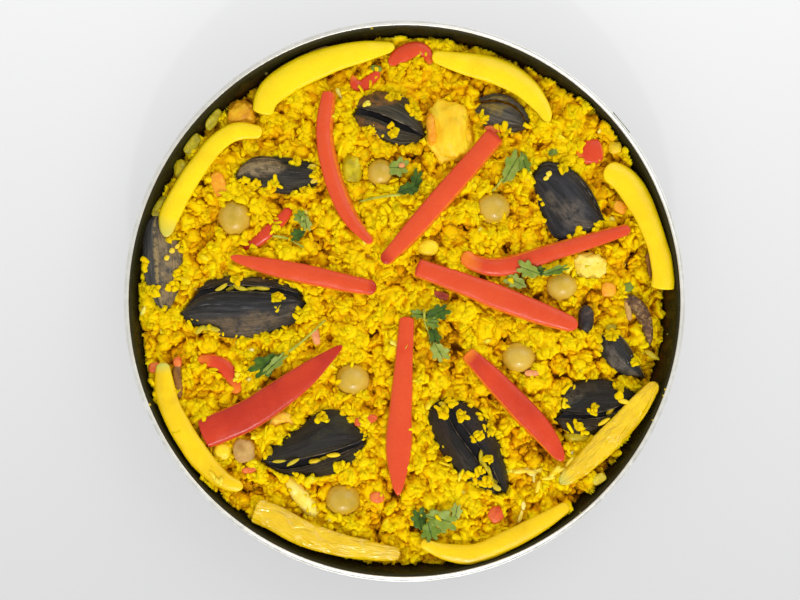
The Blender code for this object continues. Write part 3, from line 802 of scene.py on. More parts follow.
def pepperStrip(node, recipe, strip, skin, flesh, seed):
    low, high = roomOf(node)
    room = high - low
    route = [(low[0] + u * room[0], low[1] + v * room[1]) for u, v in strip["route"]]
    count = recipe["stations"]
    even = np.linspace(0, 1, count)
    shares = even - sweep["closer"] * np.sin(2 * np.pi * even) / (2 * np.pi)
    fine = smoothLine(route, 400)
    line = np.column_stack([np.interp(shares, np.linspace(0, 1, 400), fine[:, k]) for k in range(2)])
    length = np.linalg.norm(np.diff(fine, axis=0), axis=1).sum()
    tops = topsAlong(node, line)
    halves = readAlong(strip["width"], shares) / 2
    run = np.column_stack([shares * 90, shares * 0, shares * 0])
    halves *= 1 + sweep["unevenWidth"] * wobble(run, 16, seed)
    fromStart, fromEnd = shares * length, (1 - shares) * length
    rounding = np.ones(count)
    for away, reach in zip((fromStart, fromEnd), strip.get("ends", (3, 3))):
        rounding *= np.sqrt(1 - (1 - np.clip(away / reach, 0.01, 1)) ** 2)
    widest = halves.max()
    halves *= rounding
    tops -= sweep["droop"] * (1 - rounding) ** 2
    ahead = np.gradient(line, axis=0)
    ahead /= np.linalg.norm(ahead, axis=1)[:, None]
    side = np.column_stack([-ahead[:, 1], ahead[:, 0]])
    twist = sweep["twist"] * wobble(run + [0, 9, 0], 40, seed)
    points = []
    for i in range(count):
        slim = min(1.0, 0.45 + 0.55 * halves[i] / (0.45 * widest))
        bow = recipe["bow"] * halves[i] / widest
        cutLeft, cutRight = (cut * halves[i] / widest for cut in strip["cut"])
        for across, up in slabSection(halves[i], bow, recipe["thickness"] * slim, cutLeft, cutRight):
            x, y = line[i] + side[i] * across
            points.append((x, y, tops[i] + up + across * twist[i]))
    points = np.array(points)
    points[:, 2] += sweep["unevenness"] * wobble(points, 9.0, seed + 3)
    keepInWall(points, sweep["wallGap"])
    columns = len(points) // count
    faces = gridFaces(count, columns)
    kinds = [0 if j < 8 else 1 for _ in range(count - 1) for j in range(columns)]
    closeEnds(faces, len(points), columns)
    kinds += [1, 1]
    # the shading mark carries the strip's painted shade
    marks = {"paintedShading": np.full(len(points), strip["paintedShading"]), "along": np.repeat(fromStart, columns),
             "across": np.tile(np.minimum(np.arange(columns), 8) / 8, count),
             **endMarks(strip, fromStart, fromEnd, columns)}
    return addPiece(pieceName(node), points, faces, [skin, flesh], [node], kinds, marks)


toppings = []
redSkin = skinFinish("redPepperSkin", (0.72, 0.080, 0.018), (0.66, 0.054, 0.013), (0.44, 0.023, 0.009),
                     (0.44, 0.020, 0.006), (0.80, 0.20, 0.010))
redFlesh = fleshFinish("redPepperFlesh", (0.66, 0.10, 0.006), (0.84, 0.23, 0.014))
yellowColours = ((0.97, 0.71, 0.003), (0.90, 0.60, 0.002), (0.62, 0.36, 0.001), (0.62, 0.56, 0.08),
                 (0.80, 0.50, 0.01))
yellowSkin = skinFinish("yellowPepperSkin", *yellowColours)
yellowWet = skinFinish("yellowPepperWet", *yellowColours, wet=True)
yellowFlesh = fleshFinish("yellowPepperFlesh", (0.66, 0.40, 0.002), (0.88, 0.62, 0.010))
for number, (node, strip) in enumerate(redPepper["strips"].items()):
    toppings.append(pepperStrip(node, redPepper, strip, redSkin, redFlesh, number))
for number, (node, strip) in enumerate(yellowPepper["strips"].items()):
    skin = yellowWet if strip.get("wet") else yellowSkin
    toppings.append(pepperStrip(node, yellowPepper, strip, skin, yellowFlesh, 20 + number))
print("pepper strips cut:", len(toppings))


# mussels: each valve is a bent sheet of shell between its lip and its back edge, both given in
# shares of its CAD room; rise is how far lip and back stand above the rice

mussels = {
    "along": 50, "across": 15,
    "lip": 1.0,                     # shell thickness at the edge
    "skirt": 9.0,                   # how far a valve reaches down into the rice
    "ridges": (34, 0.10),           # growth ridges: how many, in radians across, and how high
    "unevenness": 0.45,
    "meatBelow": 3.2,               # how far the meat lies below the lips
    "shut": (1, 3, 4),              # two valves that touch, with no meat to be seen
    # in each look the streak colour and amount give pale streaks, partly growth lines and partly painted
    # highlights; the patch is worn shell, on mussel 9 a painted highlight
    "shells": {
        "mussel_1": dict(
            look=dict(dark=(.006, .005, .004), light=(.034, .029, .022), streakAndSheen=(.32, .27, .20), streaksAndSheen=.55,
                      patch=(.33, .24, .12), patchAt=(.0, .5, .50, .98)),
            valves=[
                dict(rise=(3.2, -1.0), bulge=5.0,
                     lip=[(.97, .70), (.70, .82), (.32, .96), (.08, .86), (-.03, .55)],
                     back=[(.86, .30), (.60, .12), (.28, .24), (.05, .40)]),
                dict(rise=(2.9, -1.0), bulge=.8,
                     lip=[(.97, .71), (.70, .83), (.32, .97), (.08, .87), (-.03, .56)],
                     back=[(.80, .95), (.45, 1.08), (.15, 1.03)])]),
        "mussel_2": dict(
            look=dict(dark=(.012, .010, .005), light=(.060, .050, .028), streakAndSheen=(.26, .18, .07), streaksAndSheen=.42,
                      patch=(.24, .10, .022), patchAt=(.25, 1.0, .0, .45)),
            valves=[
                dict(rise=(6.0, -1.0), bulge=3.0, lip=[(.08, .74), (.35, .59), (.65, .37), (.94, .12)],
                     back=[(.10, .92), (.35, 1.09), (.65, 1.0), (.85, .62)]),
                dict(rise=(4.5, -1.2), bulge=1.2, lip=[(.03, .59), (.28, .48), (.60, .23), (.93, .08)],
                     back=[(.10, .33), (.31, .10), (.60, -.09), (.80, -.04)])]),
        "mussel_3": dict(
            look=dict(dark=(.020, .016, .010), light=(.095, .080, .058), streakAndSheen=(.28, .22, .14), streaksAndSheen=.48,
                      patch=(.26, .18, .035), patchAt=(.05, .4, .0, .5)),
            valves=[
                dict(rise=(4.0, -1.0), bulge=3.0, ownEnds=True,
                     lip=[(.13, .75), (.40, .74), (.70, .55), (.88, .23)],
                     back=[(.04, .60), (.20, .22), (.50, .05), (.78, .13), (.88, .23)]),
                dict(rise=(3.6, 0.0), bulge=.6, ownEnds=True,
                     lip=[(.13, .80), (.40, .83), (.70, .67), (.90, .26)],
                     back=[(.11, .88), (.35, .98), (.60, .91), (.85, .60), (.94, .26)])]),
        "mussel_4": dict(
            look=dict(dark=(.004, .004, .005), light=(.022, .021, .024), streakAndSheen=(.24, .23, .25), streaksAndSheen=.50,
                      patch=(.10, .08, .06), patchAt=(.35, .7, .2, .6)),
            valves=[
                dict(rise=(3.0, -1.0), bulge=4.8,
                     lip=[(1.0, .28), (.80, .62), (.54, .89), (.22, .98), (.03, .82)],
                     back=[(.80, .08), (.42, .02), (.20, .30)]),
                dict(rise=(2.6, -1.0), bulge=.3, ownEnds=True,
                     lip=[(1.01, .28), (.81, .63), (.54, .90), (.22, .99), (.03, .83)],
                     back=[(1.03, .28), (.84, .67), (.57, .93), (.22, 1.02), (.03, .83)])]),
        "mussel_5": dict(
            look=dict(dark=(.026, .024, .022), light=(.070, .066, .060), streakAndSheen=(.17, .16, .15), streaksAndSheen=.34,
                      patch=(.28, .20, .10), patchAt=(.40, 1.0, .14, 1.0), rim=(.42, .30, .12)),
            valves=[
                dict(rise=(1.5, -1.2), bulge=5.0,
                     lip=[(.27, 1.03), (-.02, .90), (-.11, .60), (-.06, .32), (.15, .09), (.46, -.04)],
                     back=[(.55, .90), (.80, .68), (.87, .45), (.72, .18)])]),
        "mussel_6": dict(
            look=dict(dark=(.005, .005, .006), light=(.026, .025, .025), streakAndSheen=(.36, .35, .35), streaksAndSheen=.60,
                      patch=(.13, .09, .05), patchAt=(.45, .95, .2, .7)),
            valves=[
                dict(rise=(4.0, -1.2), bulge=5.5,
                     lip=[(1.03, .56), (.85, .72), (.50, .77), (.20, .72), (-.03, .36)],
                     back=[(.92, .15), (.60, -.12), (.30, -.10), (.05, .10)]),
                dict(rise=(4.6, -.8), bulge=1.2, brown=True,
                     lip=[(1.0, .73), (.75, .87), (.40, .91), (.11, .81)],
                     back=[(.85, 1.0), (.48, 1.09), (.22, 1.02)])]),
        "mussel_7": dict(
            look=dict(dark=(.005, .004, .003), light=(.015, .012, .009), streakAndSheen=(.05, .045, .035),
                      streaksAndSheen=.20, patch=(.030, .028, .010), patchAt=(.5, 1.0, .6, 1.0)),
            valves=[
                dict(rise=(4.5, -1.0), bulge=4.5, lip=[(-.03, .18), (.30, .25), (.65, .39), (.98, .60)],
                     back=[(.08, .48), (.33, .78), (.55, 1.05), (.74, 1.02), (.86, .80)]),
                dict(rise=(2.4, -.6), bulge=.5, brown=True,
                     lip=[(.02, .13), (.20, .06), (.50, .17), (.96, .51)],
                     back=[(.20, -.04), (.50, -.07), (.78, .08)])]),
        "mussel_8": dict(
            look=dict(dark=(.004, .003, .003), light=(.014, .011, .009), streakAndSheen=(.16, .11, .08), streaksAndSheen=.36,
                      patch=(.028, .016, .010), patchAt=(.3, 1.0, .1, .6)),
            valves=[
                dict(rise=(5.5, -1.0), bulge=3.4, lip=[(.13, 1.0), (.30, .71), (.56, .43), (.89, .02)],
                     back=[(-.03, .90), (.02, .63), (.27, .31), (.58, .12)]),
                dict(rise=(6.0, -1.0), bulge=3.4, lip=[(.18, 1.03), (.42, .75), (.70, .45), (.98, .03)],
                     back=[(.48, .97), (.76, .80), (.93, .50), (1.02, .15)])]),
        "mussel_9": dict(
            # its patch is a painted highlight: a grey wrinkled sheen on the middle of the top
            look=dict(dark=(.004, .003, .002), light=(.013, .009, .006), streakAndSheen=(.18, .13, .07), streaksAndSheen=.28,
                      patch=(.07, .055, .035), patchAt=(.35, .75, .15, .45)),
            valves=[
                dict(rise=(4.5, -1.0), bulge=4.0, lip=[(.08, .36), (.35, .32), (.65, .44), (.99, .70)],
                     back=[(.12, .90), (.44, 1.11), (.78, 1.0)]),
                dict(rise=(3.0, -1.0), bulge=1.4, brown=True,
                     lip=[(.01, .20), (.30, .19), (.62, .26), (.91, .57)],
                     back=[(.15, -.08), (.38, -.20), (.65, 0.0)])]),
        "mussel_10": dict(
            look=dict(dark=(.006, .006, .005), light=(.024, .023, .021), streakAndSheen=(.38, .36, .32), streaksAndSheen=.52,
                      patch=(.12, .10, .08), patchAt=(.5, .9, .2, .8)),
            valves=[
                dict(rise=(2.0, -1.0), bulge=4.5, lip=[(.17, .80), (.40, .88), (.65, .65), (.95, .10)],
                     back=[(.22, .48), (.53, .19)])]),
    },
}


def shellFinish(name, look, seed, brown=False):
    # wet dark shell: fine lengthwise growth lines and pale streaks, both partly painted highlights along the
    # ridges, and worn patches where marked, on mussel 9 a painted highlight
    dark, light = look["dark"], look["light"]
    if brown:
        dark, light = (.009, .006, .003), (.036, .022, .008)
    finish, tree, shader = newFinish(name, dark, 0.2, Specular_IOR_Level=0.28)
    place = lengthwise(tree, 9.0, 1.3, seed * 3.7)

    def lined(scale, detail, rough=0.6, bend=0.0):
        return noiseOf(tree, scale, detail, rough, distortion=bend, place=place)

    # lighter lines: partly growth lines, partly painted highlights along the ridges
    lines = lined(1.6, 6.0, 0.68)
    tint = rampOf(tree, lines, [(0.36, dark), (0.50, tuple(0.4 * d + 0.6 * c for d, c in zip(dark, light))),
                                (0.62, tuple(1.5 * c for c in light))])
    # pale streaks: painted highlights along the ridges, partly paler growth lines
    edge = 0.76 - 0.30 * look["streaksAndSheen"]
    streaksAndSheen = greyRamp(tree, lined(2.6, 7.0, 0.72, 0.3), [(edge, 0.0), (edge + 0.10, 1.0)])
    pale = mathOf(tree, "MULTIPLY", streaksAndSheen,
                  greyRamp(tree, noiseOf(tree, 70.0, 3.0), [(0.42, 0.0), (0.60, 0.9)]))
    tint = mixOf(tree, pale, tint, look["streakAndSheen"])
    # patch where marked: worn shell, and on mussel 9 a painted highlight
    worn = mathOf(tree, "MULTIPLY", markOf(tree, "worn"),
                  greyRamp(tree, noiseOf(tree, 210.0, 6.0, roughness=0.7), [(0.36, 0.0), (0.56, 1.0)]))
    grain = rampOf(tree, lined(4.0, 6.0, 0.7), [
        (0.32, tuple(0.45 * c for c in look["patch"])), (0.52, look["patch"]),
        (0.72, tuple(min(1.5 * c, 1.0) for c in look["patch"]))])
    tint = mixOf(tree, worn, tint, grain)
    if "rim" in look:       # a rubbed line along the edge
        band = greyRamp(tree, markOf(tree, "across"), [(0.30, 0.0), (0.36, 0.8), (0.40, 0.8), (0.46, 0.0)])
        gaps = greyRamp(tree, noiseOf(tree, 340.0, 4.0), [(0.40, 0.1), (0.55, 1.0)])
        tint = mixOf(tree, mathOf(tree, "MULTIPLY", band, gaps), tint, look["rim"])
    rough = greyRamp(tree, noiseOf(tree, 300.0, 4.0), [(0.32, 0.05), (0.68, 0.18)])
    tree.links.new(rough, shader.inputs["Roughness"])
    paint(tree, shader, tint)
    bumpOf(tree, shader, lines, 0.8, 0.0016)
    bumpOf(tree, shader, lined(6.0, 4.0), 0.5, 0.0008)
    bumpOf(tree, shader, noiseOf(tree, 700.0, 3.0), 0.3, 0.0006)
    return finish


def shadowFinish(name):
    # painted shade: the inside of a shell and the meat, near black because they lie in shadow
    return mottled(name, (0.010, 0.009, 0.012), 0.4, (120.0, 3.0),
                   [(0.35, (0.004, 0.004, 0.005)), (0.7, (0.022, 0.018, 0.020))],
                   (300.0, 2.0, 0.1, 0.0005), Specular_IOR_Level=0.2)


def valveLines(node, valve):
    # lip and back of a valve as even lines; the back meets the lip's ends, if it hasn't its own
    low, high = roomOf(node)
    room = (high - low)[:2]
    lip, back = valve["lip"], valve["back"]
    if "ownEnds" not in valve:
        back = [lip[0]] + back + [lip[-1]]
    return [smoothLine([low[:2] + np.array(spot) * room for spot in edge], mussels["along"])
            for edge in (lip, back)]


def valveSection(lip, back, valve, level, u, seed):
    # across, along and up, with a share across: over the outside of a valve from its lip to its
    # back, down into the rice, and home along the inside; u is the share along the valve
    thick, skirt = mussels["lip"], mussels["skirt"]
    lipRise, backRise = valve["rise"]
    ridges, ridgeHeight = mussels["ridges"]
    ends = math.sin(math.pi * min(max(u, 0.004), 0.996)) ** 0.55
    span = back - lip
    out = span / max(np.linalg.norm(span), 1e-6)
    section = []
    shares = np.linspace(0, 1, mussels["across"])
    for s in shares:
        arch = math.sin(math.pi * s)
        swell = valve["bulge"] * math.sin(math.pi * s ** 0.75) ** 0.85
        rise = ends * (lipRise + (backRise - lipRise) * s ** 1.5 + swell) - (1 - ends) * 1.8
        ridge = math.sin(s * ridges + 4 * noise.noise(Vector((u * 4, s * 2, seed))))
        rise += ridgeHeight * ridge * arch
        rise += mussels["unevenness"] * noise.noise(Vector((u * 5, s * 3, seed + 4))) * arch
        section.append((*(lip + span * s), level + rise, s))
    foot = section[-1][2]
    for inwards, drop in ((0.03, 0.45), (0.12, 1.0), (0.20, 1.0)):
        section.append((*(back - span * inwards), foot - drop * skirt, 1.0))
    for s in shares[-2:1:-3]:
        x, y, z, _ = section[int(round(s * (len(shares) - 1)))]
        section.append((x, y, z - thick * 1.3, s))
    section.append((*(lip + out * 0.3), section[0][2] - thick * 1.5, 0.0))
    section.append((*(lip - out * 0.55 * ends), section[0][2] - thick * 0.55, 0.0))
    return section


def wearAndSheenAt(patchAt, s, u, seed):
    # 1 inside the marked patch to 0 outside it, with a ragged edge; the patch is worn shell, on mussel 9 a
    # painted highlight
    fromAcross, toAcross, fromAlong, toAlong = patchAt
    inside = min(s - fromAcross, toAcross - s) / 0.12
    inside = min(inside, min(u - fromAlong, toAlong - u) / 0.10)
    inside += 2.2 * noise.noise(Vector((u * 5, s * 3.5, seed + 9)))
    return min(max(inside + 0.5, 0.0), 1.0)


def valveSheet(node, valve, look, level, seed):
    lip, back = valveLines(node, valve)
    count, across = mussels["along"], mussels["across"]
    points, acrossMark, alongMark, worn = [], [], [], []
    for i in range(count):
        u = i / (count - 1)
        for x, y, z, s in valveSection(lip[i], back[i], valve, level, u, seed):
            points.append((x, y, z))
            acrossMark.append(s)
            alongMark.append(u)
            worn.append(wearAndSheenAt(look["patchAt"], s, u, seed))
    columns = len(points) // count
    faces = gridFaces(count, columns)
    kinds = []
    for _ in range(count - 1):      # outside, inside, lip
        kinds += [0] * (across + 2) + [1] * (columns - across - 4) + [2, 2]
    closeEnds(faces, len(points), columns)
    kinds += [0, 0]
    return np.array(points), faces, kinds, {"across": acrossMark, "along": alongMark, "worn": worn}


def addMeat(number, node, shell, level, finish):
    # the meat between two open valves, painted near black as shade
    first, second = (valveLines(node, valve)[0] for valve in shell["valves"])
    second = smoothLine(second, len(first))
    rise = min(valve["rise"][0] for valve in shell["valves"]) - mussels["meatBelow"]
    section = ((-0.25, 0.3), (0.25, 0.6), (0.5, 0.9), (0.75, 0.6), (1.25, 0.3), (1.0, 5.0), (0.0, 5.0))
    columns = len(section)          # each corner: share of the way across the gap, and drop
    points = []
    for i in range(2, len(first) - 2):
        ends = math.sin(math.pi * i / (len(first) - 1)) ** 0.5
        a, b = first[i], second[i]
        for share, drop in section:
            bump = 0.5 * noise.noise(Vector((i / 3, share * 3, number)))
            points.append((*(a + (b - a) * share), level + ends * rise - drop + bump))
    faces = gridFaces(len(points) // columns, columns)
    closeEnds(faces, len(points), columns)
    addPiece("musselMeatInShadow" + str(number), points, faces, [finish])


def addMussels():
    # painted shade: the inside of the valves and the meat are near black
    inside, meatInShadow = shadowFinish("shellInsideInShadow"), shadowFinish("musselMeatInShadow")
    lipLine = mottled("shellLip", (0.20, 0.16, 0.11), 0.35, (240.0, 3.0),
                      [(0.36, (0.025, 0.02, 0.02)), (0.56, (0.15, 0.12, 0.085)),
                       (0.76, (0.42, 0.36, 0.27))], (900.0, 2.0, 0.2, 0.0003))
    for number, (node, shell) in enumerate(mussels["shells"].items(), 1):
        low, high = roomOf(node)
        middle = (low + high) / 2
        level = float(readGrid(heapLevel, middle[0], middle[1]))
        for part, valve in enumerate(shell["valves"]):
            points, faces, kinds, marks = valveSheet(node, valve, shell["look"], level, number * 1.7 + part)
            finish = shellFinish("shell" + str(number) + "abc"[part], shell["look"], number + 0.4 * part,
                                 valve.get("brown", False))
            name = "mussel" + str(number) + ("Valve" if part == 0 else "BackValve")
            toppings.append(addPiece(name, points, faces, [finish, inside, lipLine],
                                     [node], kinds, marks))
        if len(shell["valves"]) == 2 and number not in mussels["shut"]:
            addMeat(number, node, shell, level, meatInShadow)


addMussels()
print("mussels opened:", len(mussels["shells"]))


# olives

olives = {"rows": 26, "columns": 36, "unevenness": 0.025, "scar": 0.07, "taper": 0.06,
          "nodes": ["olive_" + str(number) for number in range(1, 8)]}


def oliveFinish():
    finish, tree, shader = newFinish("oliveSkin", (0.58, 0.38, 0.04), 0.25, Specular_IOR_Level=0.42)
    tint = rampOf(tree, noiseOf(tree, 75.0, 3.0), [(0.28, (0.46, 0.30, 0.020)), (0.5, (0.60, 0.38, 0.034)),
                                                   (0.74, (0.68, 0.46, 0.070))])
    fleck = rampOf(tree, noiseOf(tree, 1300.0, 2.0), [(0.60, (1, 1, 1)), (0.72, (0.80, 0.78, 0.66))])
    paint(tree, shader, mixOf(tree, 0.6, tint, fleck, "MULTIPLY"), gloss=(300.0, 3.0, 0.14, 0.30))
    bumpOf(tree, shader, noiseOf(tree, 420.0, 3.0), 0.22, 0.0006)
    return finish


def addOlives():
    finish = oliveFinish()
    unit, faces = ballGrid(olives["rows"], olives["columns"])
    for number, node in enumerate(olives["nodes"], 1):
        points = unit * (1 + olives["unevenness"] * wobble(unit, 0.8, number))[:, None]
        points[:, 1:] *= (1 + olives["taper"] * points[:, 0])[:, None]
        scar = np.exp(-((unit[:, 1] ** 2 + unit[:, 2] ** 2) / 0.02)) * (unit[:, 0] > 0)
        points[:, 0] -= olives["scar"] * scar
        pose = Euler((0.4 * number, 0.3 + 0.5 * math.sin(number), 1.9 * number)).to_matrix()
        points = seatIn(points @ np.array(pose).T, node)
        toppings.append(addPiece("olive" + str(number), points, faces, [finish], [node]))


addOlives()
print("olives placed:", len(olives["nodes"]))


# cooked pieces: torn meat, fish, squid and soft vegetables

cooked = {
    "rows": 44, "columns": 60,
    "lumps": {      # finish, how lumpy, how deep the fibres, and which way they run if they do
        "chicken_large": ("chicken", 0.18, 0.07, (1, 2.2, 1)),
        "chicken_corner": ("roast", 0.26, 0.06, (1, 2.0, 1)),
        "white_fish": ("paleFlesh", 0.24, 0.04, (2.5, 1, 1)), "onion_left": ("onion", 0.10, 0.02),
        "green_pepper_left": ("greenPepper", 0.10, 0.02), "green_pepper_top": ("greenPepper", 0.14, 0.02),
        "squid_ring_middle": ("onion", 0.08, 0.02), "fish_corner": ("onion", 0.14, 0.03),
        "onion_clear": ("greenPepper", 0.10, 0.02), "mussel_11": ("shellChip", 0.10, 0.03),
    },
}


def moistFinish(name, stops, size, roughness, fibre=None, depth=0.0006):
    # soft food: mottled colour, fine relief, an uneven moist surface
    finish, tree, shader = newFinish(name, stops[len(stops) // 2][1], roughness, Specular_IOR_Level=0.25,
                                     **soft(0.3, (1.0, 0.5, 0.1), 0.002))
    mottle = noiseOf(tree, 1.0 / size, 4.0, stretch=fibre, distortion=0.3)
    paint(tree, shader, rampOf(tree, mottle, stops), gloss=(420.0, 3.0, roughness - 0.12, roughness + 0.12))
    bumpOf(tree, shader, noiseOf(tree, 2.4 / size, 5.0, stretch=fibre), 0.5, depth)
    return finish


finishes = {
    "chicken": moistFinish("braisedChicken", [
        (0.26, (0.80, 0.34, 0.008)), (0.40, (0.90, 0.55, 0.010)), (0.62, (0.94, 0.66, 0.020)),
        (0.82, (0.96, 0.78, 0.10))], 0.009, 0.42, fibre=(1.0, 0.45, 1.0), depth=0.0010),
    "roast": moistFinish("roastChicken", [
        (0.28, (0.50, 0.19, 0.004)), (0.48, (0.72, 0.34, 0.006)), (0.72, (0.86, 0.52, 0.012))], 0.009, 0.36,
        depth=0.0012),
    "paleFlesh": moistFinish("poachedFish", [
        (0.30, (0.86, 0.62, 0.04)), (0.52, (0.92, 0.74, 0.11)), (0.75, (0.95, 0.84, 0.30))], 0.008, 0.40),
    "onion": moistFinish("softOnion", [
        (0.30, (0.74, 0.50, 0.010)), (0.55, (0.90, 0.66, 0.015)), (0.78, (0.95, 0.78, 0.06))], 0.010, 0.32),
    "greenPepper": moistFinish("softGreenPepper", [
        (0.30, (0.36, 0.27, 0.003)), (0.52, (0.58, 0.46, 0.005)), (0.76, (0.74, 0.62, 0.03))], 0.007, 0.32),
    "shellChip": moistFinish("shellChip", [
        (0.30, (0.010, 0.009, 0.012)), (0.60, (0.05, 0.035, 0.03)), (0.80, (0.22, 0.14, 0.09))], 0.004, 0.35),
}


def addLumps():
    unit, faces = ballGrid(cooked["rows"], cooked["columns"])
    for number, (node, (finish, rough, fibre, *along)) in enumerate(cooked["lumps"].items(), 1):
        stretched = unit * np.array(along[0] if along else (1, 1, 1))
        grow = 1 + rough * wobble(unit, 0.7, number) + 0.5 * rough * wobble(unit, 0.3, number)
        grow += fibre * wobble(stretched, 0.12, number)
        points = seatIn(np.sign(unit) * np.abs(unit) ** 0.86 * grow[:, None], node)
        toppings.append(addPiece(pieceName(node), points, faces, [finishes[finish]], [node]))


limbs = {
    "stations": 46, "sides": 20, "cupEdges": (3, 7),
    "shrimp": dict(route=[(.1, .15), (.4, .6), (.75, .55), (.9, .05)], girth=(3, 6, 6, 4, 1.5), segments=7),
    "squid_arm": dict(route=[(.1, .95), (.55, .68), (.75, .4), (.85, .02)], girth=(7, 9, 8, 6, 3),
                      suckers=11),
    "squid_strip": dict(route=[(.10, .93), (.38, .64), (.66, .36), (.92, .07)], girth=(5, 8, 10, 9, 5)),
}


def addLimb(node, finish):
    limb, count, sides = limbs[node], limbs["stations"], limbs["sides"]
    low, high = roomOf(node)
    room = high - low
    middle = (low[2] + high[2]) / 2
    route = [(low[0] + u * room[0], low[1] + v * room[1], middle) for u, v in limb["route"]]
    line = smoothLine(route, count)
    shares = np.linspace(0, 1, count)
    half = readAlong(limb["girth"], shares) / 2
    half *= np.clip(np.sin(np.pi * np.clip(shares, 0.02, 0.98)) * 4, 0, 1) ** 0.5
    if "segments" in limb:
        half *= 1 + 0.10 * np.abs(np.sin(np.pi * limb["segments"] * shares))
    tube, faces = tubeAlong(line, half, half * 0.9, sides)
    tube = seatIn(tube + 0.25 * np.column_stack([wobble(tube, 2.2, seed) for seed in (1, 2, 3)]), node)
    points = list(tube)
    cup, cupFaces = ballGrid(6, 10)
    for i in range(limb.get("suckers", 0)):         # two rows of little cups along the top of the arm
        station = 3 + round(i * (count - 8) / limb["suckers"])
        ring = tube[station * sides:(station + 1) * sides]
        middle, size = ring.mean(0), 0.30 * half[station]
        for edge in limbs["cupEdges"]:
            spot = middle + 0.92 * (ring[edge] - middle)
            gather(points, faces, spot + cup * np.array([size, size, size * 0.8]), cupFaces)
    toppings.append(addPiece(pieceName(node), np.array(points), faces, [finish], [node]))


addLumps()
shrimpFinish = moistFinish("shrimpFlesh", [
    (0.30, (0.76, 0.34, 0.02)), (0.55, (0.88, 0.55, 0.04)), (0.78, (0.93, 0.70, 0.12))], 0.003, 0.35)
squidFinish = moistFinish("squidSkin", [
    (0.30, (0.045, 0.020, 0.012)), (0.52, (0.17, 0.085, 0.035)), (0.75, (0.44, 0.28, 0.10))], 0.0025, 0.30)
addLimb("shrimp", shrimpFinish)
addLimb("squid_strip", finishes["paleFlesh"])
addLimb("squid_arm", squidFinish)
print("cooked pieces added")


# rice: a knobbly core of clumps, with several lots of real grains half sunk in it and lying on it

rice = {
    "clump": 14.5,                  # size of a clump
    "crevice": (4.6, 0.13),         # how deep the gaps between clumps are, and how wide in clumps
    "hollow": 4.0,                  # how deep the odd hollows are
    "hollowShare": (-0.28, -0.10),  # how many there are in the middle, and how that changes across
    "wander": ((7, 2.6), (2.5, 0.9)),       # size and reach of the bends in the clumps' outlines
    "lump": (7.5, 2.1, 0.8, 0.16),  # size and height of a clump's lumps, how they differ, width of a seam
    "knob": (3.4, 0.45, 0.9, 0.2),  # and of the knobs on a lump
    "unevenness": 2.2,
    "fused": (9.0, -0.15, 1.2),     # size and share of the patches where grains sink in, and how far
    "flakes": 0.32,                 # how many of the grains are burst or stuck to another
    "bareSides": 4.5,               # how far down an olive or a cooked piece is free of rice
    "wallGap": (0.8, 1.3),          # how far the core and the grains stay off the wall
    "rimGap": (2.5, 1.6),           # and below the rim
    "pale": 0.006,                  # how many of the grains are pale
    "jitter": 0.55,
    "gapDepth": 7.0,                # how far the rice lies below the lips of an open mussel
    "underTopping": 1.5,            # and below a topping's top
    "lots": {
        "riceDeep": dict(spacing=5.2, length=(4.5, 8.5), width=(3.4, 5.2), lift=(-1.6, -0.5), tilt=0.30,
                         tone=0, sides=6, rings=3),
        "riceMain": dict(spacing=4.5, length=(3.8, 8.4), width=(2.6, 4.6), lift=(-1.3, -0.1), tilt=0.38,
                         tone=0, sides=6, rings=3),
        "riceTop": dict(spacing=8.5, length=(5.5, 9.5), width=(2.5, 3.3), lift=(-0.2, 0.9), tilt=0.50,
                        tone=0.04, sides=6, rings=4),
    },
}
rng = np.random.default_rng(11)


def cellsAt(x, y, size, seed):
    # distance to the nearest two cell centres, in cells, and a level for the cell
    near, centres = noise.voronoi(Vector((x / size, y / size, seed)))
    return near[0], near[1] - near[0], noise.cell(centres[0] * 3.1)


def clumpRelief(x, y):
    # rounded clumps parted by crevices and hollows of uneven depth, knobbly all over
    depth, width = rice["crevice"]
    (broad, bend), (fine, nudge) = rice["wander"]
    x += (bend * noise.noise(Vector((x / broad, y / broad, 1.5)))
          + nudge * noise.noise(Vector((x / fine, y / fine, 3.5))))
    y += (bend * noise.noise(Vector((x / broad, y / broad, 8.5)))
          + nudge * noise.noise(Vector((x / fine, y / fine, 6.5))))
    far, gap, step = cellsAt(x, y, rice["clump"], 0.5)
    strength = min(max(0.45 + 1.5 * noise.noise(Vector((x / 24, y / 24, 4.0))), 0.0), 1.0)
    level = rice["unevenness"] * (step - 0.5) - 1.2 * far * far
    level -= depth * strength * math.exp(-((gap / width) ** 2))
    middle, across = rice["hollowShare"]
    sink = noise.noise(Vector((x / 8.5, y / 8.5, 12.0))) + middle + across * (y - x) / rimRadius
    level -= rice["hollow"] * min(max(sink * 5.0, 0.0), 1.0)
    for seed, (size, height, sway, seam) in ((4.5, rice["lump"]), (9.5, rice["knob"])):
        far, gap, step = cellsAt(x, y, size, seed)
        level += height * ((step - 0.5) * sway - far * far - 0.5 * math.exp(-((gap / seam) ** 2)))
    return level


clumpLevel = np.array([[clumpRelief(x, y) for y in heapAxis] for x in heapAxis])
clumpLevel -= np.percentile(clumpLevel, 60)
riceTop = heapLevel + clumpLevel


def gapCells():
    # the samples between the lips of open mussels, where no rice goes
    gap = np.zeros(heapLevel.shape, bool)
    for node, shell in mussels["shells"].items():
        if len(shell["valves"]) == 1:
            continue
        first, second = (smoothLine(valveLines(node, valve)[0], 160) for valve in shell["valves"])
        for share in np.linspace(0.0, 1.0, 14):
            spots = first + (second - first) * share
            cells = np.round((spots[4:-4] - heapAxis[0]) / heap["cell"]).astype(int)
            gap[cells[:, 0], cells[:, 1]] = True
    return gap


shellGap = gapCells()
toppingTree = treeOf(toppings)
toppingTop = topGrid(toppingTree, heapAxis)
roundTree = treeOf([piece for piece in toppings if not piece.name.startswith(("mussel", "redP", "yellowP"))])
roundTop = topGrid(roundTree, heapAxis)
bareBelow = np.where(np.isfinite(roundTop), rice["bareSides"], 1.0)      # how far down rice stays off
print("rice clumps shaped")


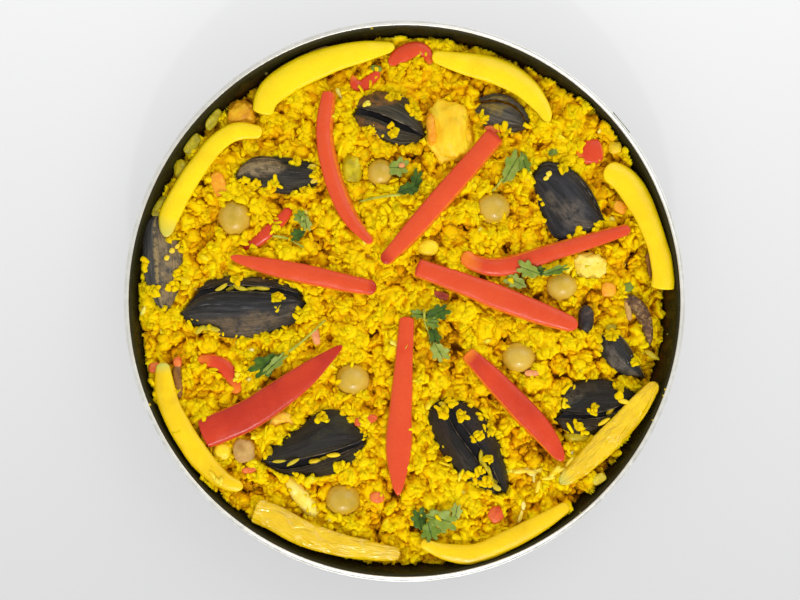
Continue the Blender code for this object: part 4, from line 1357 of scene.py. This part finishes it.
def grainShape(sides, rings):
    # one unit grain along x: blunt ends, slightly flat
    points = [(-0.5, 0.0, 0.0)]
    for i in range(rings):
        t = (i + 0.5) / rings
        swell = (1 - abs(2 * t - 1) ** 5) ** 0.5
        for j in range(sides):
            turn = 2 * math.pi * j / sides
            points.append((t - 0.5, 0.5 * swell * math.cos(turn), 0.42 * swell * math.sin(turn)))
    points.append((0.5, 0.0, 0.0))
    faces = []
    for i in range(rings - 1):
        for j in range(sides):
            k = (j + 1) % sides
            a, b = 1 + i * sides + j, 1 + i * sides + k
            c, d = b + sides, a + sides
            faces += [(a, b, c), (a, c, d)]
    last = len(points) - 1
    for j in range(sides):
        k = (j + 1) % sides
        faces.append((0, 1 + k, 1 + j))
        faces.append((last, last - sides + j, last - sides + k))
    return np.array(points), np.array(faces)


def spun(first, second, turns):
    # two coordinates of many grains, each grain turned by its own angle
    cosine, sine = np.cos(turns)[:, None], np.sin(turns)[:, None]
    return first * cosine - second * sine, first * sine + second * cosine


def grainsMesh(places, headings, tilts, rolls, lengths, widths, tonesAndShade, lot):
    # many uneven copies of the unit grain as one mesh
    unit, faces = grainShape(lot["sides"], lot["rings"])
    count = len(places)
    bend = rng.uniform(-0.2, 0.2, count)
    taper = rng.uniform(-0.35, 0.35, count)
    dents = 1 + rng.uniform(-0.26, 0.26, (count, len(unit)))
    flat = rng.uniform(0.6, 1.05, (count, 1))
    flake = rng.random(count) < rice["flakes"]          # burst grains and pairs stuck together
    widths = np.where(flake, widths * 1.4, widths)
    flat = np.where(flake[:, None], flat * 0.62, flat)
    x = np.tile(unit[:, 0], (count, 1))
    y = unit[:, 1] * (1 + taper[:, None] * 2 * unit[:, 0]) * widths[:, None] * dents
    z = unit[:, 2] * (1 + taper[:, None] * 2 * unit[:, 0]) * widths[:, None] * dents * flat
    y = y + bend[:, None] * (4 * x * x - 1) * widths[:, None]
    x = x * lengths[:, None]
    y, z = spun(y, z, rolls)
    x, z = spun(x, z, tilts)
    x, y = spun(x, y, headings)
    points = np.stack([x + places[:, :1], y + places[:, 1:2], z + places[:, 2:3]], axis=2)
    faces = faces[None] + np.arange(count)[:, None, None] * len(unit)
    return points.reshape(-1, 3), faces.reshape(-1, 3), {"tone": np.repeat(tonesAndShade, len(unit))}


def scatterSpots(spacing):
    # spots in staggered rows over the whole pan, each a little off its place
    reach, jitter = rimRadius, rice["jitter"]
    spots = []
    for row, y in enumerate(np.arange(-reach, reach, spacing * 0.87)):
        for x in np.arange(-reach + (row % 2) * spacing / 2, reach, spacing):
            spots.append((x, y))
    spots = np.array(spots)
    return spots + rng.uniform(-jitter, jitter, spots.shape) * spacing


def creviceShadeAt(x, y):
    # 0 down in the crevices to 0.7 on the clump tops: painted shade in the crevices, with some sauce
    return np.clip(0.60 + 0.09 * readGrid(clumpLevel, x, y), 0.0, 0.74)


def riceFinish():
    finish, tree, shader = newFinish("saffronRice", (0.88, 0.61, 0.002), 0.5, Specular_IOR_Level=0.03,
                                     **soft(0.6, (1.0, 1.0, 0.3), 0.0038))
    tone = markOf(tree, "tone")
    patch, fine = swingOf(tree, 0.45, 45.0, 3.0), swingOf(tree, 0.08, 500.0, 3.0)
    mixed = mathOf(tree, "ADD", mathOf(tree, "ADD", tone, patch), fine)
    # the dark end of the ramp is painted shade in the crevices, with some sauce; the pale end is for pale
    # grains
    tint = rampOf(tree, mixed, [(0.0, (0.20, 0.065, 0.001)), (0.16, (0.50, 0.22, 0.001)),
                                (0.32, (0.80, 0.39, 0.001)), (0.48, (0.87, 0.51, 0.001)),
                                (0.66, (0.90, 0.59, 0.001)), (0.82, (0.91, 0.65, 0.003)),
                                (0.92, (0.93, 0.78, 0.08)), (1.0, (0.94, 0.86, 0.40))])
    paint(tree, shader, tint, gloss=(500.0, 2.0, 0.40, 0.62))
    bumpOf(tree, shader, noiseOf(tree, 700.0, 3.0), 0.12, 0.0003)
    return finish


def coreTop():
    # the clumps' level, lower under what lies on them and between the lips of open mussels
    depth = rice["underTopping"]
    with np.errstate(invalid="ignore"):
        under = np.isfinite(toppingTop) & (toppingTop < riceTop + depth)
        sunk = np.where(under, np.minimum(riceTop, toppingTop - depth), riceTop)
        top = np.where(toppingTop > heapLevel - 2.0 - bareBelow, sunk, riceTop)
    return np.where(shellGap, np.minimum(top, heapLevel - rice["gapDepth"]), top)


def rimOf(faces):
    # the edges that only one face has, each as its two corners
    rim = {}
    for face in faces:
        for first, last in zip(face, face[1:] + face[:1]):
            if (last, first) in rim:
                del rim[last, first]
            else:
                rim[first, last] = True
    return list(rim)


def addRiceCore(finish):
    # the heap's core: knobbly top on the sample grid, then a side wall down to a flat underside
    floor = roomOf("rice")[0][2] + 0.3
    top = coreTop()
    index = -np.ones(top.shape, int)
    points, tonesAndShade = [], []
    for i, j in zip(*np.nonzero(np.isfinite(top))):
        x, y = heapAxis[i], heapAxis[j]
        reach = math.hypot(x, y)
        height = min(float(top[i, j]), rimHeight - rice["rimGap"][0])
        if reach > wallRadius(height) - rice["wallGap"][0]:
            continue
        index[i, j] = len(points)
        points.append((x, y, height))
        tonesAndShade.append(float(creviceShadeAt(np.array([x]), np.array([y]))[0]))
    faces = []
    for i in range(len(heapAxis) - 1):
        for j in range(len(heapAxis) - 1):
            corners = (index[i, j], index[i + 1, j], index[i + 1, j + 1], index[i, j + 1])
            if min(corners) >= 0:
                faces.append(corners)
    rim = rimOf(faces)
    below = {}
    foot = wallRadius(floor) - pan["corner"] * 0.9
    for a, b in rim:                        # the side, from the rim of the top down to the underside
        for corner in (a, b):
            if corner not in below:
                x, y, _ = points[corner]
                scale = min(1.0, foot / math.hypot(x, y))
                below[corner] = len(points)
                points.append((x * scale, y * scale, floor))
                # the side is painted dark, as shade
                tonesAndShade.append(0.1)
        faces.append((b, a, below[a], below[b]))
    faces.append(tuple(below[a] for a in loopOf(rim)))
    addPiece("riceCore", points, faces, [finish], ["rice"], marks={"tone": tonesAndShade})
    print("core triangles:", sum(len(face) - 2 for face in faces))


def loopOf(edges):
    # the corners of a closed outline in order, from its unordered edges
    following = {first: last for first, last in edges}
    start = next(iter(following))
    loop, at = [start], following[start]
    while at != start:
        loop.append(at)
        at = following[at]
    return loop[::-1]


def addRiceLot(name, lot, finish):
    spots = scatterSpots(lot["spacing"])
    level = readGrid(riceTop, spots[:, 0], spots[:, 1])
    spots, level = spots[np.isfinite(level)], level[np.isfinite(level)]
    count = len(spots)
    lengths = rng.uniform(*lot["length"], count)
    widths = rng.uniform(*lot["width"], count)
    headings = rng.uniform(0, 2 * np.pi, count)
    tilts = rng.normal(0, lot["tilt"], count).clip(-1.1, 1.1)
    lifts = rng.uniform(*lot["lift"], count)
    size, least, sink = rice["fused"]
    fused = wobble(np.column_stack([spots, np.zeros(count)]), size, 5.5) > least
    lifts = np.where(fused, lifts - sink, lifts)
    places = np.column_stack([spots, level + lifts])
    reachX, reachY = np.cos(headings) * np.cos(tilts), np.sin(headings) * np.cos(tilts)
    blocked = np.zeros(count, int)
    outside = np.zeros(count, bool)
    for share in (-0.5, -0.25, 0.0, 0.25, 0.5):
        x = spots[:, 0] + reachX * lengths * share
        y = spots[:, 1] + reachY * lengths * share
        z = places[:, 2] + np.sin(tilts) * lengths * share
        cover = readGrid(toppingTop, x, y)
        bare = readGrid(bareBelow, x, y)
        with np.errstate(invalid="ignore"):
            blocked += (np.isfinite(cover) & (z + 0.3 * widths > cover) & (cover > level - bare)).astype(int)
        blocked += 2 * readGrid(shellGap, x, y).astype(int)
        outside |= np.hypot(x, y) > wallRadius(z) - rice["wallGap"][1]
        outside |= z > rimHeight - rice["rimGap"][1]
    keep = (blocked < 2) & ~outside
    # painted shade and light: grains lower down are painted darker, the top lot a little lighter
    tonesAndShade = creviceShadeAt(spots[:, 0], spots[:, 1]) + lot["tone"] + rng.uniform(-0.05, 0.05, count) + 0.05 * lifts
    pale = rng.random(count) < rice["pale"]
    tonesAndShade = np.where(pale, rng.uniform(0.84, 0.98, count), tonesAndShade)
    rolls = rng.uniform(0, np.pi, count)
    points, faces, marks = grainsMesh(places[keep], headings[keep], tilts[keep], rolls[keep], lengths[keep],
                                      widths[keep], tonesAndShade[keep], lot)
    addPiece(name, points, faces, [finish], fixNormals=False, marks=marks)
    print(name, "grains:", int(keep.sum()), "triangles:", len(faces))


grainFinish = riceFinish()
addRiceCore(grainFinish)
for name, lot in rice["lots"].items():
    addRiceLot(name, lot, grainFinish)
print("rice heaped")


# coriander: toothed leaf lobes and stems that lie on whatever is under them; at is in rim radii
# from the middle of the pan, the rest in millimetres from there

herbs = {
    "thickness": 0.35, "rings": (0.3, 0.58, 0.82, 1.0), "edge": 70,
    "cuts": 7, "cutDepth": 0.42, "teeth": 0.07, "fold": 1.5, "lift": 0.5, "veinGap": 3.2,
    "stemRadius": 0.7, "stemStations": 30,
    # how pale each lobe is painted: painted light, sheen and shade, lobe by lobe
    "paintedShading": {"bright": 0.86, "grey": 0.74, "mid": 0.52, "dark": 0.18},
    "leaves": {     # each lobe: painted shading, middle, length, width and turn
        "byOlive": dict(at=(0.0, 0.45), lobes=[
            ("grey", (-4, 5.5), 14, 12, 0), ("dark", (7, -3.5), 16, 8, 75), ("dark", (2, -8), 12, 9, 20),
        ], stem=[(-2, -11.5), (-15, -13), (-28, -15.5)]),
        "topRight": dict(at=(0.40, 0.48), lobes=[
            ("grey", (-2, 0.5), 21, 12, 60), ("mid", (5.5, 2.5), 14, 8, -75),
        ], stem=[(-8, -6.5), (-11, -11), (-14, -14)]),
        "middle": dict(at=(0.47, 0.10), lobes=[
            ("bright", (-12, -5), 14, 10, 155), ("grey", (-4.5, 2), 15, 11, 160),
            ("dark", (2.5, 1.5), 9, 6, 0), ("mid", (12, 1.5), 20, 5, 18),
        ], stem=[]),
        "centre": dict(at=(0.10, -0.11), lobes=[
            ("mid", (-8, 10.5), 11, 6.5, 175), ("dark", (3.5, 11.5), 16, 10, 25),
            ("mid", (0, 5.5), 10, 7, -10), ("dark", (1.5, -3), 13, 7, -75),
            ("bright", (4.5, -12.5), 14, 11, -60),
        ], stem=[(-5, 13.5), (-4.5, 6), (-2, -1), (-0.5, -8)]),
        "bottom": dict(at=(0.11, -0.80), lobes=[
            ("dark", (-9.5, 2.5), 14, 11, 100), ("grey", (4, 2.5), 22, 13, -15),
            ("mid", (-3, -4.5), 14, 11, -75), ("bright", (13, 7.5), 11, 7, 80),
        ], stem=[]),
        "folded": dict(at=(-0.48, -0.23), lobes=[
            ("dark", (-3, 0), 24, 13, 215), ("grey", (2, 0.5), 23, 6, 42),
        ], stem=[(11, 8), (22, 17), (33, 27.5)]),
        "curled": dict(at=(-0.37, 0.27), lobes=[
            ("mid", (-1, 5.5), 9, 7.5, 130), ("bright", (2.5, 2), 12, 6.5, -80),
            ("dark", (-2.5, -5), 10, 8, 200),
        ], stem=[(-18, -6), (-9, -7.5), (1, -13)]),
    },
}
surfaceTop = np.fmax(toppingTop, riceTop + 1.0)


def leafFinish():
    # the shading mark sets how pale a lobe is painted, as painted light and shade lobe by lobe; the fold mark
    # paints a dark line along each lobe's crease, a painted fold shadow, and fainter dark lines on its side
    # veins
    finish, tree, shader = newFinish("corianderLeaf", (0.10, 0.16, 0.03), 0.34, Specular_IOR_Level=0.22)
    uneven = swingOf(tree, 0.8, 190.0, 4.0)
    tint = rampOf(tree, mathOf(tree, "ADD", markOf(tree, "paintedShading"), uneven),
                  [(0.0, (0.018, 0.050, 0.003)), (0.25, (0.060, 0.125, 0.008)), (0.5, (0.14, 0.22, 0.016)),
                   (0.75, (0.24, 0.31, 0.04)), (1.0, (0.38, 0.42, 0.08))])
    # painted fold shadow along each crease, fainter on the side veins
    rib = greyRamp(tree, markOf(tree, "rib"), [(0.45, 0.0), (0.9, 0.8)])
    paint(tree, shader, mixOf(tree, rib, tint, (0.014, 0.034, 0.006)), gloss=(500.0, 3.0, 0.22, 0.46))
    bumpOf(tree, shader, noiseOf(tree, 260.0, 4.0, distortion=0.6), 0.6, 0.0009)
    return finish


def lobeOutline(length, width, seed):
    # along and across, round a lobe: broad and deeply cut at its far end, toothed all round
    around = 2 * np.pi * np.arange(herbs["edge"]) / herbs["edge"]
    cut = np.abs(np.cos(herbs["cuts"] * around / 2)) ** 3
    reach = 1 - herbs["cutDepth"] * cut * (0.35 + 0.65 * np.cos(around / 2) ** 2)
    reach -= herbs["teeth"] * np.cos(4 * herbs["cuts"] * around + seed)
    reach *= 1 + 0.10 * np.sin(2 * around + seed)
    along = length / 2 * np.cos(around) * reach
    return along, width / 2 * np.sin(around) * reach * (1 + 0.30 * np.cos(around))


def lobeSheet(middle, place, length, width, turn, paintedShading, above, seed):
    # one lobe as a thin closed sheet, folded along its length
    along, across = lobeOutline(length, width, seed)
    angle = math.radians(turn)
    ahead = np.array([math.cos(angle), math.sin(angle)])
    sideways = np.array([-math.sin(angle), math.cos(angle)])
    core = np.array(place, float)
    spread = along[:, None] * ahead + across[:, None] * sideways
    reach = np.abs(across).max()
    flat = np.vstack([core[None]] + [core + spread * share for share in herbs["rings"]]) + middle
    local = readUnder(surfaceTop, flat)
    base = np.percentile(local, 75)
    away = np.abs((flat - middle - core) @ sideways) / reach
    height = np.maximum(base, 0.5 * base + 0.5 * local) + herbs["lift"] + above
    height += herbs["fold"] * away ** 1.3
    height += 0.9 * wobble(np.column_stack([flat, np.zeros(len(flat))]), 5.5, seed)
    # painted shade: a dark line along the crease of the fold
    rib = np.clip(1 - away * reach / 0.7, 0, 1)
    along = (flat - middle - core) @ ahead
    for k in range(-2, 3):                  # side veins, painted as fainter dark lines
        vein = 1 - np.abs(along + 0.7 * away * reach - herbs["veinGap"] * k) / 0.35
        rib = np.maximum(rib, 0.55 * np.clip(vein, 0, 1))
    top = np.column_stack([flat, height])
    count, last = herbs["edge"], len(flat) - herbs["edge"]
    faces = []
    for start in (0, len(flat)):            # upper face, then lower face
        faces += [(start, start + 1 + j, start + 1 + (j + 1) % count) for j in range(count)]
        faces += gridFaces(len(herbs["rings"]), count, start=start + 1)
    for j in range(count):                  # the edge between them
        a, b = last + j, last + (j + 1) % count
        faces.append((a, b, len(flat) + b, len(flat) + a))
    points = np.vstack([top, top - [0, 0, herbs["thickness"]]])
    return points, faces, np.full(len(points), herbs["paintedShading"][paintedShading]), np.concatenate([rib, rib])


def addCoriander():
    leaf = leafFinish()
    stem = mottled("corianderStem", (0.40, 0.42, 0.04), 0.35, (120.0, 3.0),
                   [(0.3, (0.26, 0.30, 0.02)), (0.7, (0.56, 0.55, 0.07))], (700.0, 2.0, 0.2, 0.0003),
                   Specular_IOR_Level=0.2)
    for number, (name, recipe) in enumerate(herbs["leaves"].items()):
        middle = np.array(recipe["at"]) * rimRadius
        points, faces, paintedShadings, veinsAndFoldShades = [], [], [], []
        for layer, (paintedShading, place, length, width, turn) in enumerate(recipe["lobes"]):
            sheet, sides, tone, rib = lobeSheet(middle, place, length, width, turn, paintedShading, 0.45 * layer,
                                                7 * number + layer)
            gather(points, faces, sheet, sides)
            paintedShadings.append(tone)
            veinsAndFoldShades.append(rib)
        name = name[0].upper() + name[1:]
        addPiece("leaf" + name, np.array(points), faces, [leaf],
                 marks={"paintedShading": np.concatenate(paintedShadings), "rib": np.concatenate(veinsAndFoldShades)})
        if recipe["stem"]:
            count = herbs["stemStations"]
            route = smoothLine([middle + np.array(spot) for spot in recipe["stem"]], count)
            level = readUnder(surfaceTop, route)
            for _ in range(8):
                level[1:-1] = np.maximum(level[1:-1], (level[:-2] + level[2:]) / 2)
            line = np.column_stack([route, level + 0.5])
            girth = herbs["stemRadius"] * np.linspace(1.15, 0.8, count)
            tube, sides = tubeAlong(line, girth, girth, 8)
            addPiece("stem" + name, tube, sides, [stem])


addCoriander()
print("coriander laid on:", len(herbs["leaves"]))


# cut bits of vegetable, loose grains, and crumbs on the pan; spots are in rim radii from the
# middle of the pan, sizes in millimetres across, along and up, turns in degrees

bits = {
    "colours": {
        "red": ((0.55, 0.055, 0.012), (0.80, 0.16, 0.03)),
        "darkRed": ((0.20, 0.018, 0.008), (0.42, 0.06, 0.02)),
        "tomato": ((0.62, 0.075, 0.015), (0.85, 0.24, 0.05)),
        "orange": ((0.80, 0.27, 0.008), (0.90, 0.46, 0.02)),
        "salmon": ((0.70, 0.22, 0.07), (0.86, 0.42, 0.16)),
        "tan": ((0.42, 0.22, 0.05), (0.66, 0.42, 0.13)),
        "brown": ((0.16, 0.06, 0.012), (0.36, 0.17, 0.03)),
        "olive": ((0.26, 0.21, 0.004), (0.56, 0.46, 0.010)),
        "green": ((0.10, 0.15, 0.012), (0.26, 0.32, 0.04)),
        "clear": ((0.60, 0.45, 0.015), (0.82, 0.66, 0.06)),
    },
    "wallGap": 0.6,
    "pieces": [
        ("orange", (-0.67, 0.42), (9, 15, 5), 20), ("orange", (0.78, 0.34), (9, 7, 4), -30),
        ("orange", (0.74, 0.04), (9, 9, 4), 0), ("tomato", (0.32, 0.62), (11, 5, 4), 0),
        ("tomato", (-0.10, -0.71), (9, 7, 5), 0), ("tomato", (-0.56, -0.61), (10, 4, 4), 10),
        ("tomato", (-0.90, -0.24), (8, 6, 4), 0), ("tomato", (-0.82, -0.22), (5, 7, 4), 0),
        ("red", (-0.14, -0.43), (15, 6, 4), 15), ("red", (0.33, -0.77), (9, 10, 5), 30),
        ("darkRed", (0.13, 0.02), (10, 5, 3), -20), ("salmon", (-0.32, -0.13), (5, 10, 4), 10),
        ("salmon", (0.46, -0.26), (8, 4, 3), 0), ("salmon", (-0.01, 0.49), (4, 3, 3), 0),
        ("tan", (-0.30, 0.90), (18, 6, 4), 15), ("tan", (-0.58, -0.54), (13, 14, 5), 0),
        ("olive", (-0.88, 0.34), (14, 8, 4), 40), ("olive", (-0.77, 0.57), (9, 14, 4), -35),
        ("olive", (-0.69, 0.66), (6, 15, 4), -30), ("olive", (-0.75, 0.48), (6, 12, 4), -35),
        ("olive", (0.75, -0.10), (6, 5, 3), 0), ("green", (0.81, 0.05), (7, 6, 3), 20),
        ("green", (0.54, 0.54), (7, 4, 2), 20), ("green", (-0.10, 0.84), (7, 4, 3), -15),
        ("brown", (0.89, 0.13), (4, 15, 5), 10), ("tan", (0.81, -0.03), (4, 14, 4), 8),
        ("brown", (-0.82, -0.29), (6, 22, 5), 5), ("brown", (-0.53, 0.33), (4, 3, 2), 0),
        ("clear", (0.70, -0.64), (9, 6, 4), 30), ("orange", (0.097, 0.62), (6, 20, 9), 5),
        ("clear", (-0.33, 0.46), (8, 12, 4), 15),
    ],
}
strays = {
    # the green grains lie in the gaps of open mussels and are painted darker there, as shade
    "colours": {"yellow": 0.76, "pale": 0.84, "white": 0.93, "green": 0.55},
    "width": (2.4, 3.6), "wallGap": 0.6,
    "rows": [       # colour, first spot, last spot, how many, length
        ("green", (-0.68, 0.045), (-0.50, 0.05), 5, 7), ("green", (-0.75, -0.10), (-0.68, -0.10), 4, 6),
        ("green", (-0.47, -0.58), (-0.38, -0.58), 2, 7), ("yellow", (-0.34, -0.58), (-0.24, -0.55), 3, 7),
        ("green", (0.14, -0.37), (0.16, -0.41), 2, 6), ("green", (0.27, -0.55), (0.34, -0.69), 5, 8),
        ("yellow", (0.70, -0.45), (0.80, -0.34), 3, 8), ("green", (0.85, -0.16), (0.91, -0.21), 2, 9),
        ("pale", (0.50, 0.44), (0.52, 0.46), 2, 4), ("pale", (-0.86, 0.14), (-0.81, 0.21), 3, 3.5),
        ("pale", (-0.14, 0.70), (-0.13, 0.71), 2, 5), ("pale", (-0.69, -0.62), (-0.65, -0.65), 3, 6),
        ("pale", (0.40, -0.62), (0.56, -0.61), 4, 8), ("white", (0.45, -0.61), (0.48, -0.65), 2, 8),
        ("pale", (0.46, -0.68), (0.62, -0.57), 4, 7), ("white", (0.42, -0.80), (0.43, -0.72), 2, 6),
    ],
}
crumbs = {      # spot and size; the first ones stick under the lip, the rest lower on the wall
    "lipGap": 0.3, "lowest": 20.0, "lift": 0.2,
    "underLip": [((-0.12, 1.0), 2.2), ((-0.935, -0.38), 2.0), ((0.96, -0.325), 1.6),
                 ((0.945, -0.345), 1.2), ((0.905, -0.435), 1.4), ((0.64, -0.77), 1.6)],
    "onWall": [((-0.50, 0.825), 2.2), ((0.915, 0.25), 1.4), ((0.955, -0.12), 1.2)],
}


def bitFinish(name, deep, light):
    return mottled(name + "Bit", deep, 0.26, (240.0, 4.0), [(0.3, deep), (0.68, light)],
                   (380.0, 4.0, 0.5, 0.0012), gloss=(420.0, 3.0, 0.16, 0.42), Specular_IOR_Level=0.3,
                   **soft(0.3, (1.0, 0.5, 0.2), 0.0015))


def levelAt(x, y):
    level = float(readGrid(surfaceTop, np.array([x]), np.array([y]))[0])
    return level if math.isfinite(level) else 40.0


def addBits():
    ball, ballFaces = ballGrid(14, 24)
    gathered = {}
    for number, (colour, spot, size, turn) in enumerate(bits["pieces"]):
        x, y = spot[0] * rimRadius, spot[1] * rimRadius
        # a cut chunk: flatter faces, soft corners and an uneven outline
        shape = np.sign(ball) * np.abs(ball) ** 0.72 * np.array(size) / 2
        shape = shape * (1 + 0.20 * wobble(shape, 4.5, number)[:, None])
        shape = turned(shape, math.radians(turn)) + [x, y, 0.0]
        under = readGrid(heapLevel, shape[:, 0], shape[:, 1])
        under = np.where(np.isfinite(under), under, 42.0)
        shape[:, 2] += 0.6 * float(np.median(under)) + 0.4 * under + 0.15 * size[2]
        keepInWall(shape, bits["wallGap"])
        points, faces = gathered.setdefault(colour, ([], []))
        gather(points, faces, shape, ballFaces)
    for colour, (points, faces) in gathered.items():
        deep, light = bits["colours"][colour]
        addPiece(colour + "Bits", np.array(points), faces, [bitFinish(colour, deep, light)])


def addStrays():
    # loose grains in short rows, each a little off its row's line
    ball, ballFaces = ballGrid(9, 12)
    rng = np.random.default_rng(41)
    points, faces, tonesAndShade = [], [], []
    for colour, first, last, count, length in strays["rows"]:
        first, last = np.array(first), np.array(last)
        heading = math.atan2(last[1] - first[1], last[0] - first[0])
        for share in (np.arange(count) + 0.5) / count:
            x, y = (first + (last - first) * share) * rimRadius + rng.uniform(-0.9, 0.9, 2)
            width = rng.uniform(*strays["width"])
            shape = ball * (1 + 0.22 * wobble(ball * 2, 1.3, x + y)[:, None])
            shape = shape * np.array([max(length * rng.uniform(0.8, 1.3), 3.6), width, width * 0.85]) / 2
            shape[:, 1] += 0.5 * (shape[:, 0] / length) ** 2 * rng.uniform(-1, 2)     # a slight bow
            shape = turned(shape, heading + rng.normal(0, 0.45)) + [x, y, levelAt(x, y) + 0.3 * width]
            keepInWall(shape, strays["wallGap"])
            gather(points, faces, shape, ballFaces)
            tonesAndShade += [strays["colours"][colour]] * len(shape)
    finish, tree, shader = newFinish("looseGrain", (0.72, 0.48, 0.06), 0.35, Specular_IOR_Level=0.2,
                                     **soft(0.4, (1.0, 0.6, 0.1), 0.0015))
    tint = rampOf(tree, mathOf(tree, "ADD", markOf(tree, "tone"), swingOf(tree, 0.3, 260.0, 3.0)),
                  [(0.30, (0.28, 0.26, 0.015)), (0.55, (0.58, 0.46, 0.015)), (0.78, (0.86, 0.60, 0.010)),
                   (0.90, (0.90, 0.72, 0.08)), (1.0, (0.93, 0.82, 0.34))])
    paint(tree, shader, tint)
    bumpOf(tree, shader, noiseOf(tree, 700.0, 2.0), 0.15, 0.0003)
    addPiece("looseGrains", np.array(points), faces, [finish], marks={"tone": tonesAndShade})


def addCrumbs():
    ball, ballFaces = ballGrid(7, 10)
    points, faces = [], []
    spots = []
    for (u, v), size in crumbs["underLip"]:
        reach = math.hypot(u, v)
        radius = rimRadius - pan["lipWidth"]
        height = rimHeight - crumbs["lipGap"] - size * 0.62
        spots.append((u / reach * radius, v / reach * radius, height, size))
    for (u, v), size in crumbs["onWall"]:
        reach = math.hypot(u, v) * rimRadius
        height = rimHeight - (rimRadius - pan["lipWidth"] - reach) / math.tan(pan["flare"])
        spots.append((u * rimRadius, v * rimRadius, max(height, crumbs["lowest"]) + crumbs["lift"], size))
    for number, (x, y, z, size) in enumerate(spots):
        shape = ball * size / 2 * (1 + 0.3 * wobble(ball * 2, 1.1, number)[:, None])
        gather(points, faces, shape + np.array([x, y, z]), ballFaces)
    finish = mottled("crumb", (0.5, 0.4, 0.02), 0.4, (90.0, 3.0),
                     [(0.35, (0.22, 0.20, 0.03)), (0.65, (0.72, 0.55, 0.03))], (900.0, 3.0, 0.4, 0.0005),
                     Specular_IOR_Level=0.35)
    addPiece("crumbs", np.array(points), faces, [finish])


spill = {       # rice that has tumbled over the edges of the shells
    "reach": 4,                     # how far in from a shell's edge the heaps lie
    "patch": 9.0,                   # size of the patches that the heaps come in
    "headroom": 2.2,                # at least this much between a grain and the level of the rim
    "spacing": 8.0, "grains": (3, 11), "spread": 1.6,
    "width": (2.8, 4.6), "length": (3.6, 7.5), "tone": (0.50, 0.70), "sides": 6, "rings": 4,
}


def addSpill():
    shells = treeOf([piece for piece in toppings if "Valve" in piece.name])
    shellTop = topGrid(shells, heapAxis)
    onShell = np.isfinite(shellTop) & (shellTop >= np.nan_to_num(toppingTop, nan=-1) - 0.1)
    inner = onShell.copy()
    for _ in range(spill["reach"]):
        inner &= np.roll(inner, 1, 0) & np.roll(inner, -1, 0) & np.roll(inner, 1, 1) & np.roll(inner, -1, 1)
    spots = scatterSpots(spill["spacing"])
    margin = readGrid((onShell & ~inner & ~shellGap).astype(float), spots[:, 0], spots[:, 1]) > 0.5
    spots = spots[margin]
    patches = wobble(np.column_stack([spots, np.zeros(len(spots))]), spill["patch"], 3.3)
    spots = spots[patches > 0]
    heaped = []
    for spot in spots:
        for _ in range(rng.integers(*spill["grains"])):
            heaped.append(spot + rng.normal(0, spill["spread"], 2))
    heaped = np.array(heaped)
    level = readGrid(shellTop, heaped[:, 0], heaped[:, 1])
    heaped, level = heaped[np.isfinite(level)], level[np.isfinite(level)]
    count = len(heaped)
    widths = rng.uniform(*spill["width"], count)
    height = np.minimum(level + rng.uniform(0.0, 0.9, count), rimHeight - 0.5 * widths - spill["headroom"])
    places = np.column_stack([heaped, height])
    points, faces, marks = grainsMesh(places, rng.uniform(0, 2 * np.pi, count), rng.normal(0, 0.25, count),
                                      rng.uniform(0, np.pi, count), rng.uniform(*spill["length"], count),
                                      widths, rng.uniform(*spill["tone"], count), spill)
    addPiece("riceSpill", points, faces, [grainFinish], fixNormals=False, marks=marks)
    print("heaps of spilled rice:", len(spots), "grains:", count)


addBits()
addStrays()
addSpill()
addCrumbs()
print("bits:", len(bits["pieces"]), "rows of loose grains:", len(strays["rows"]))
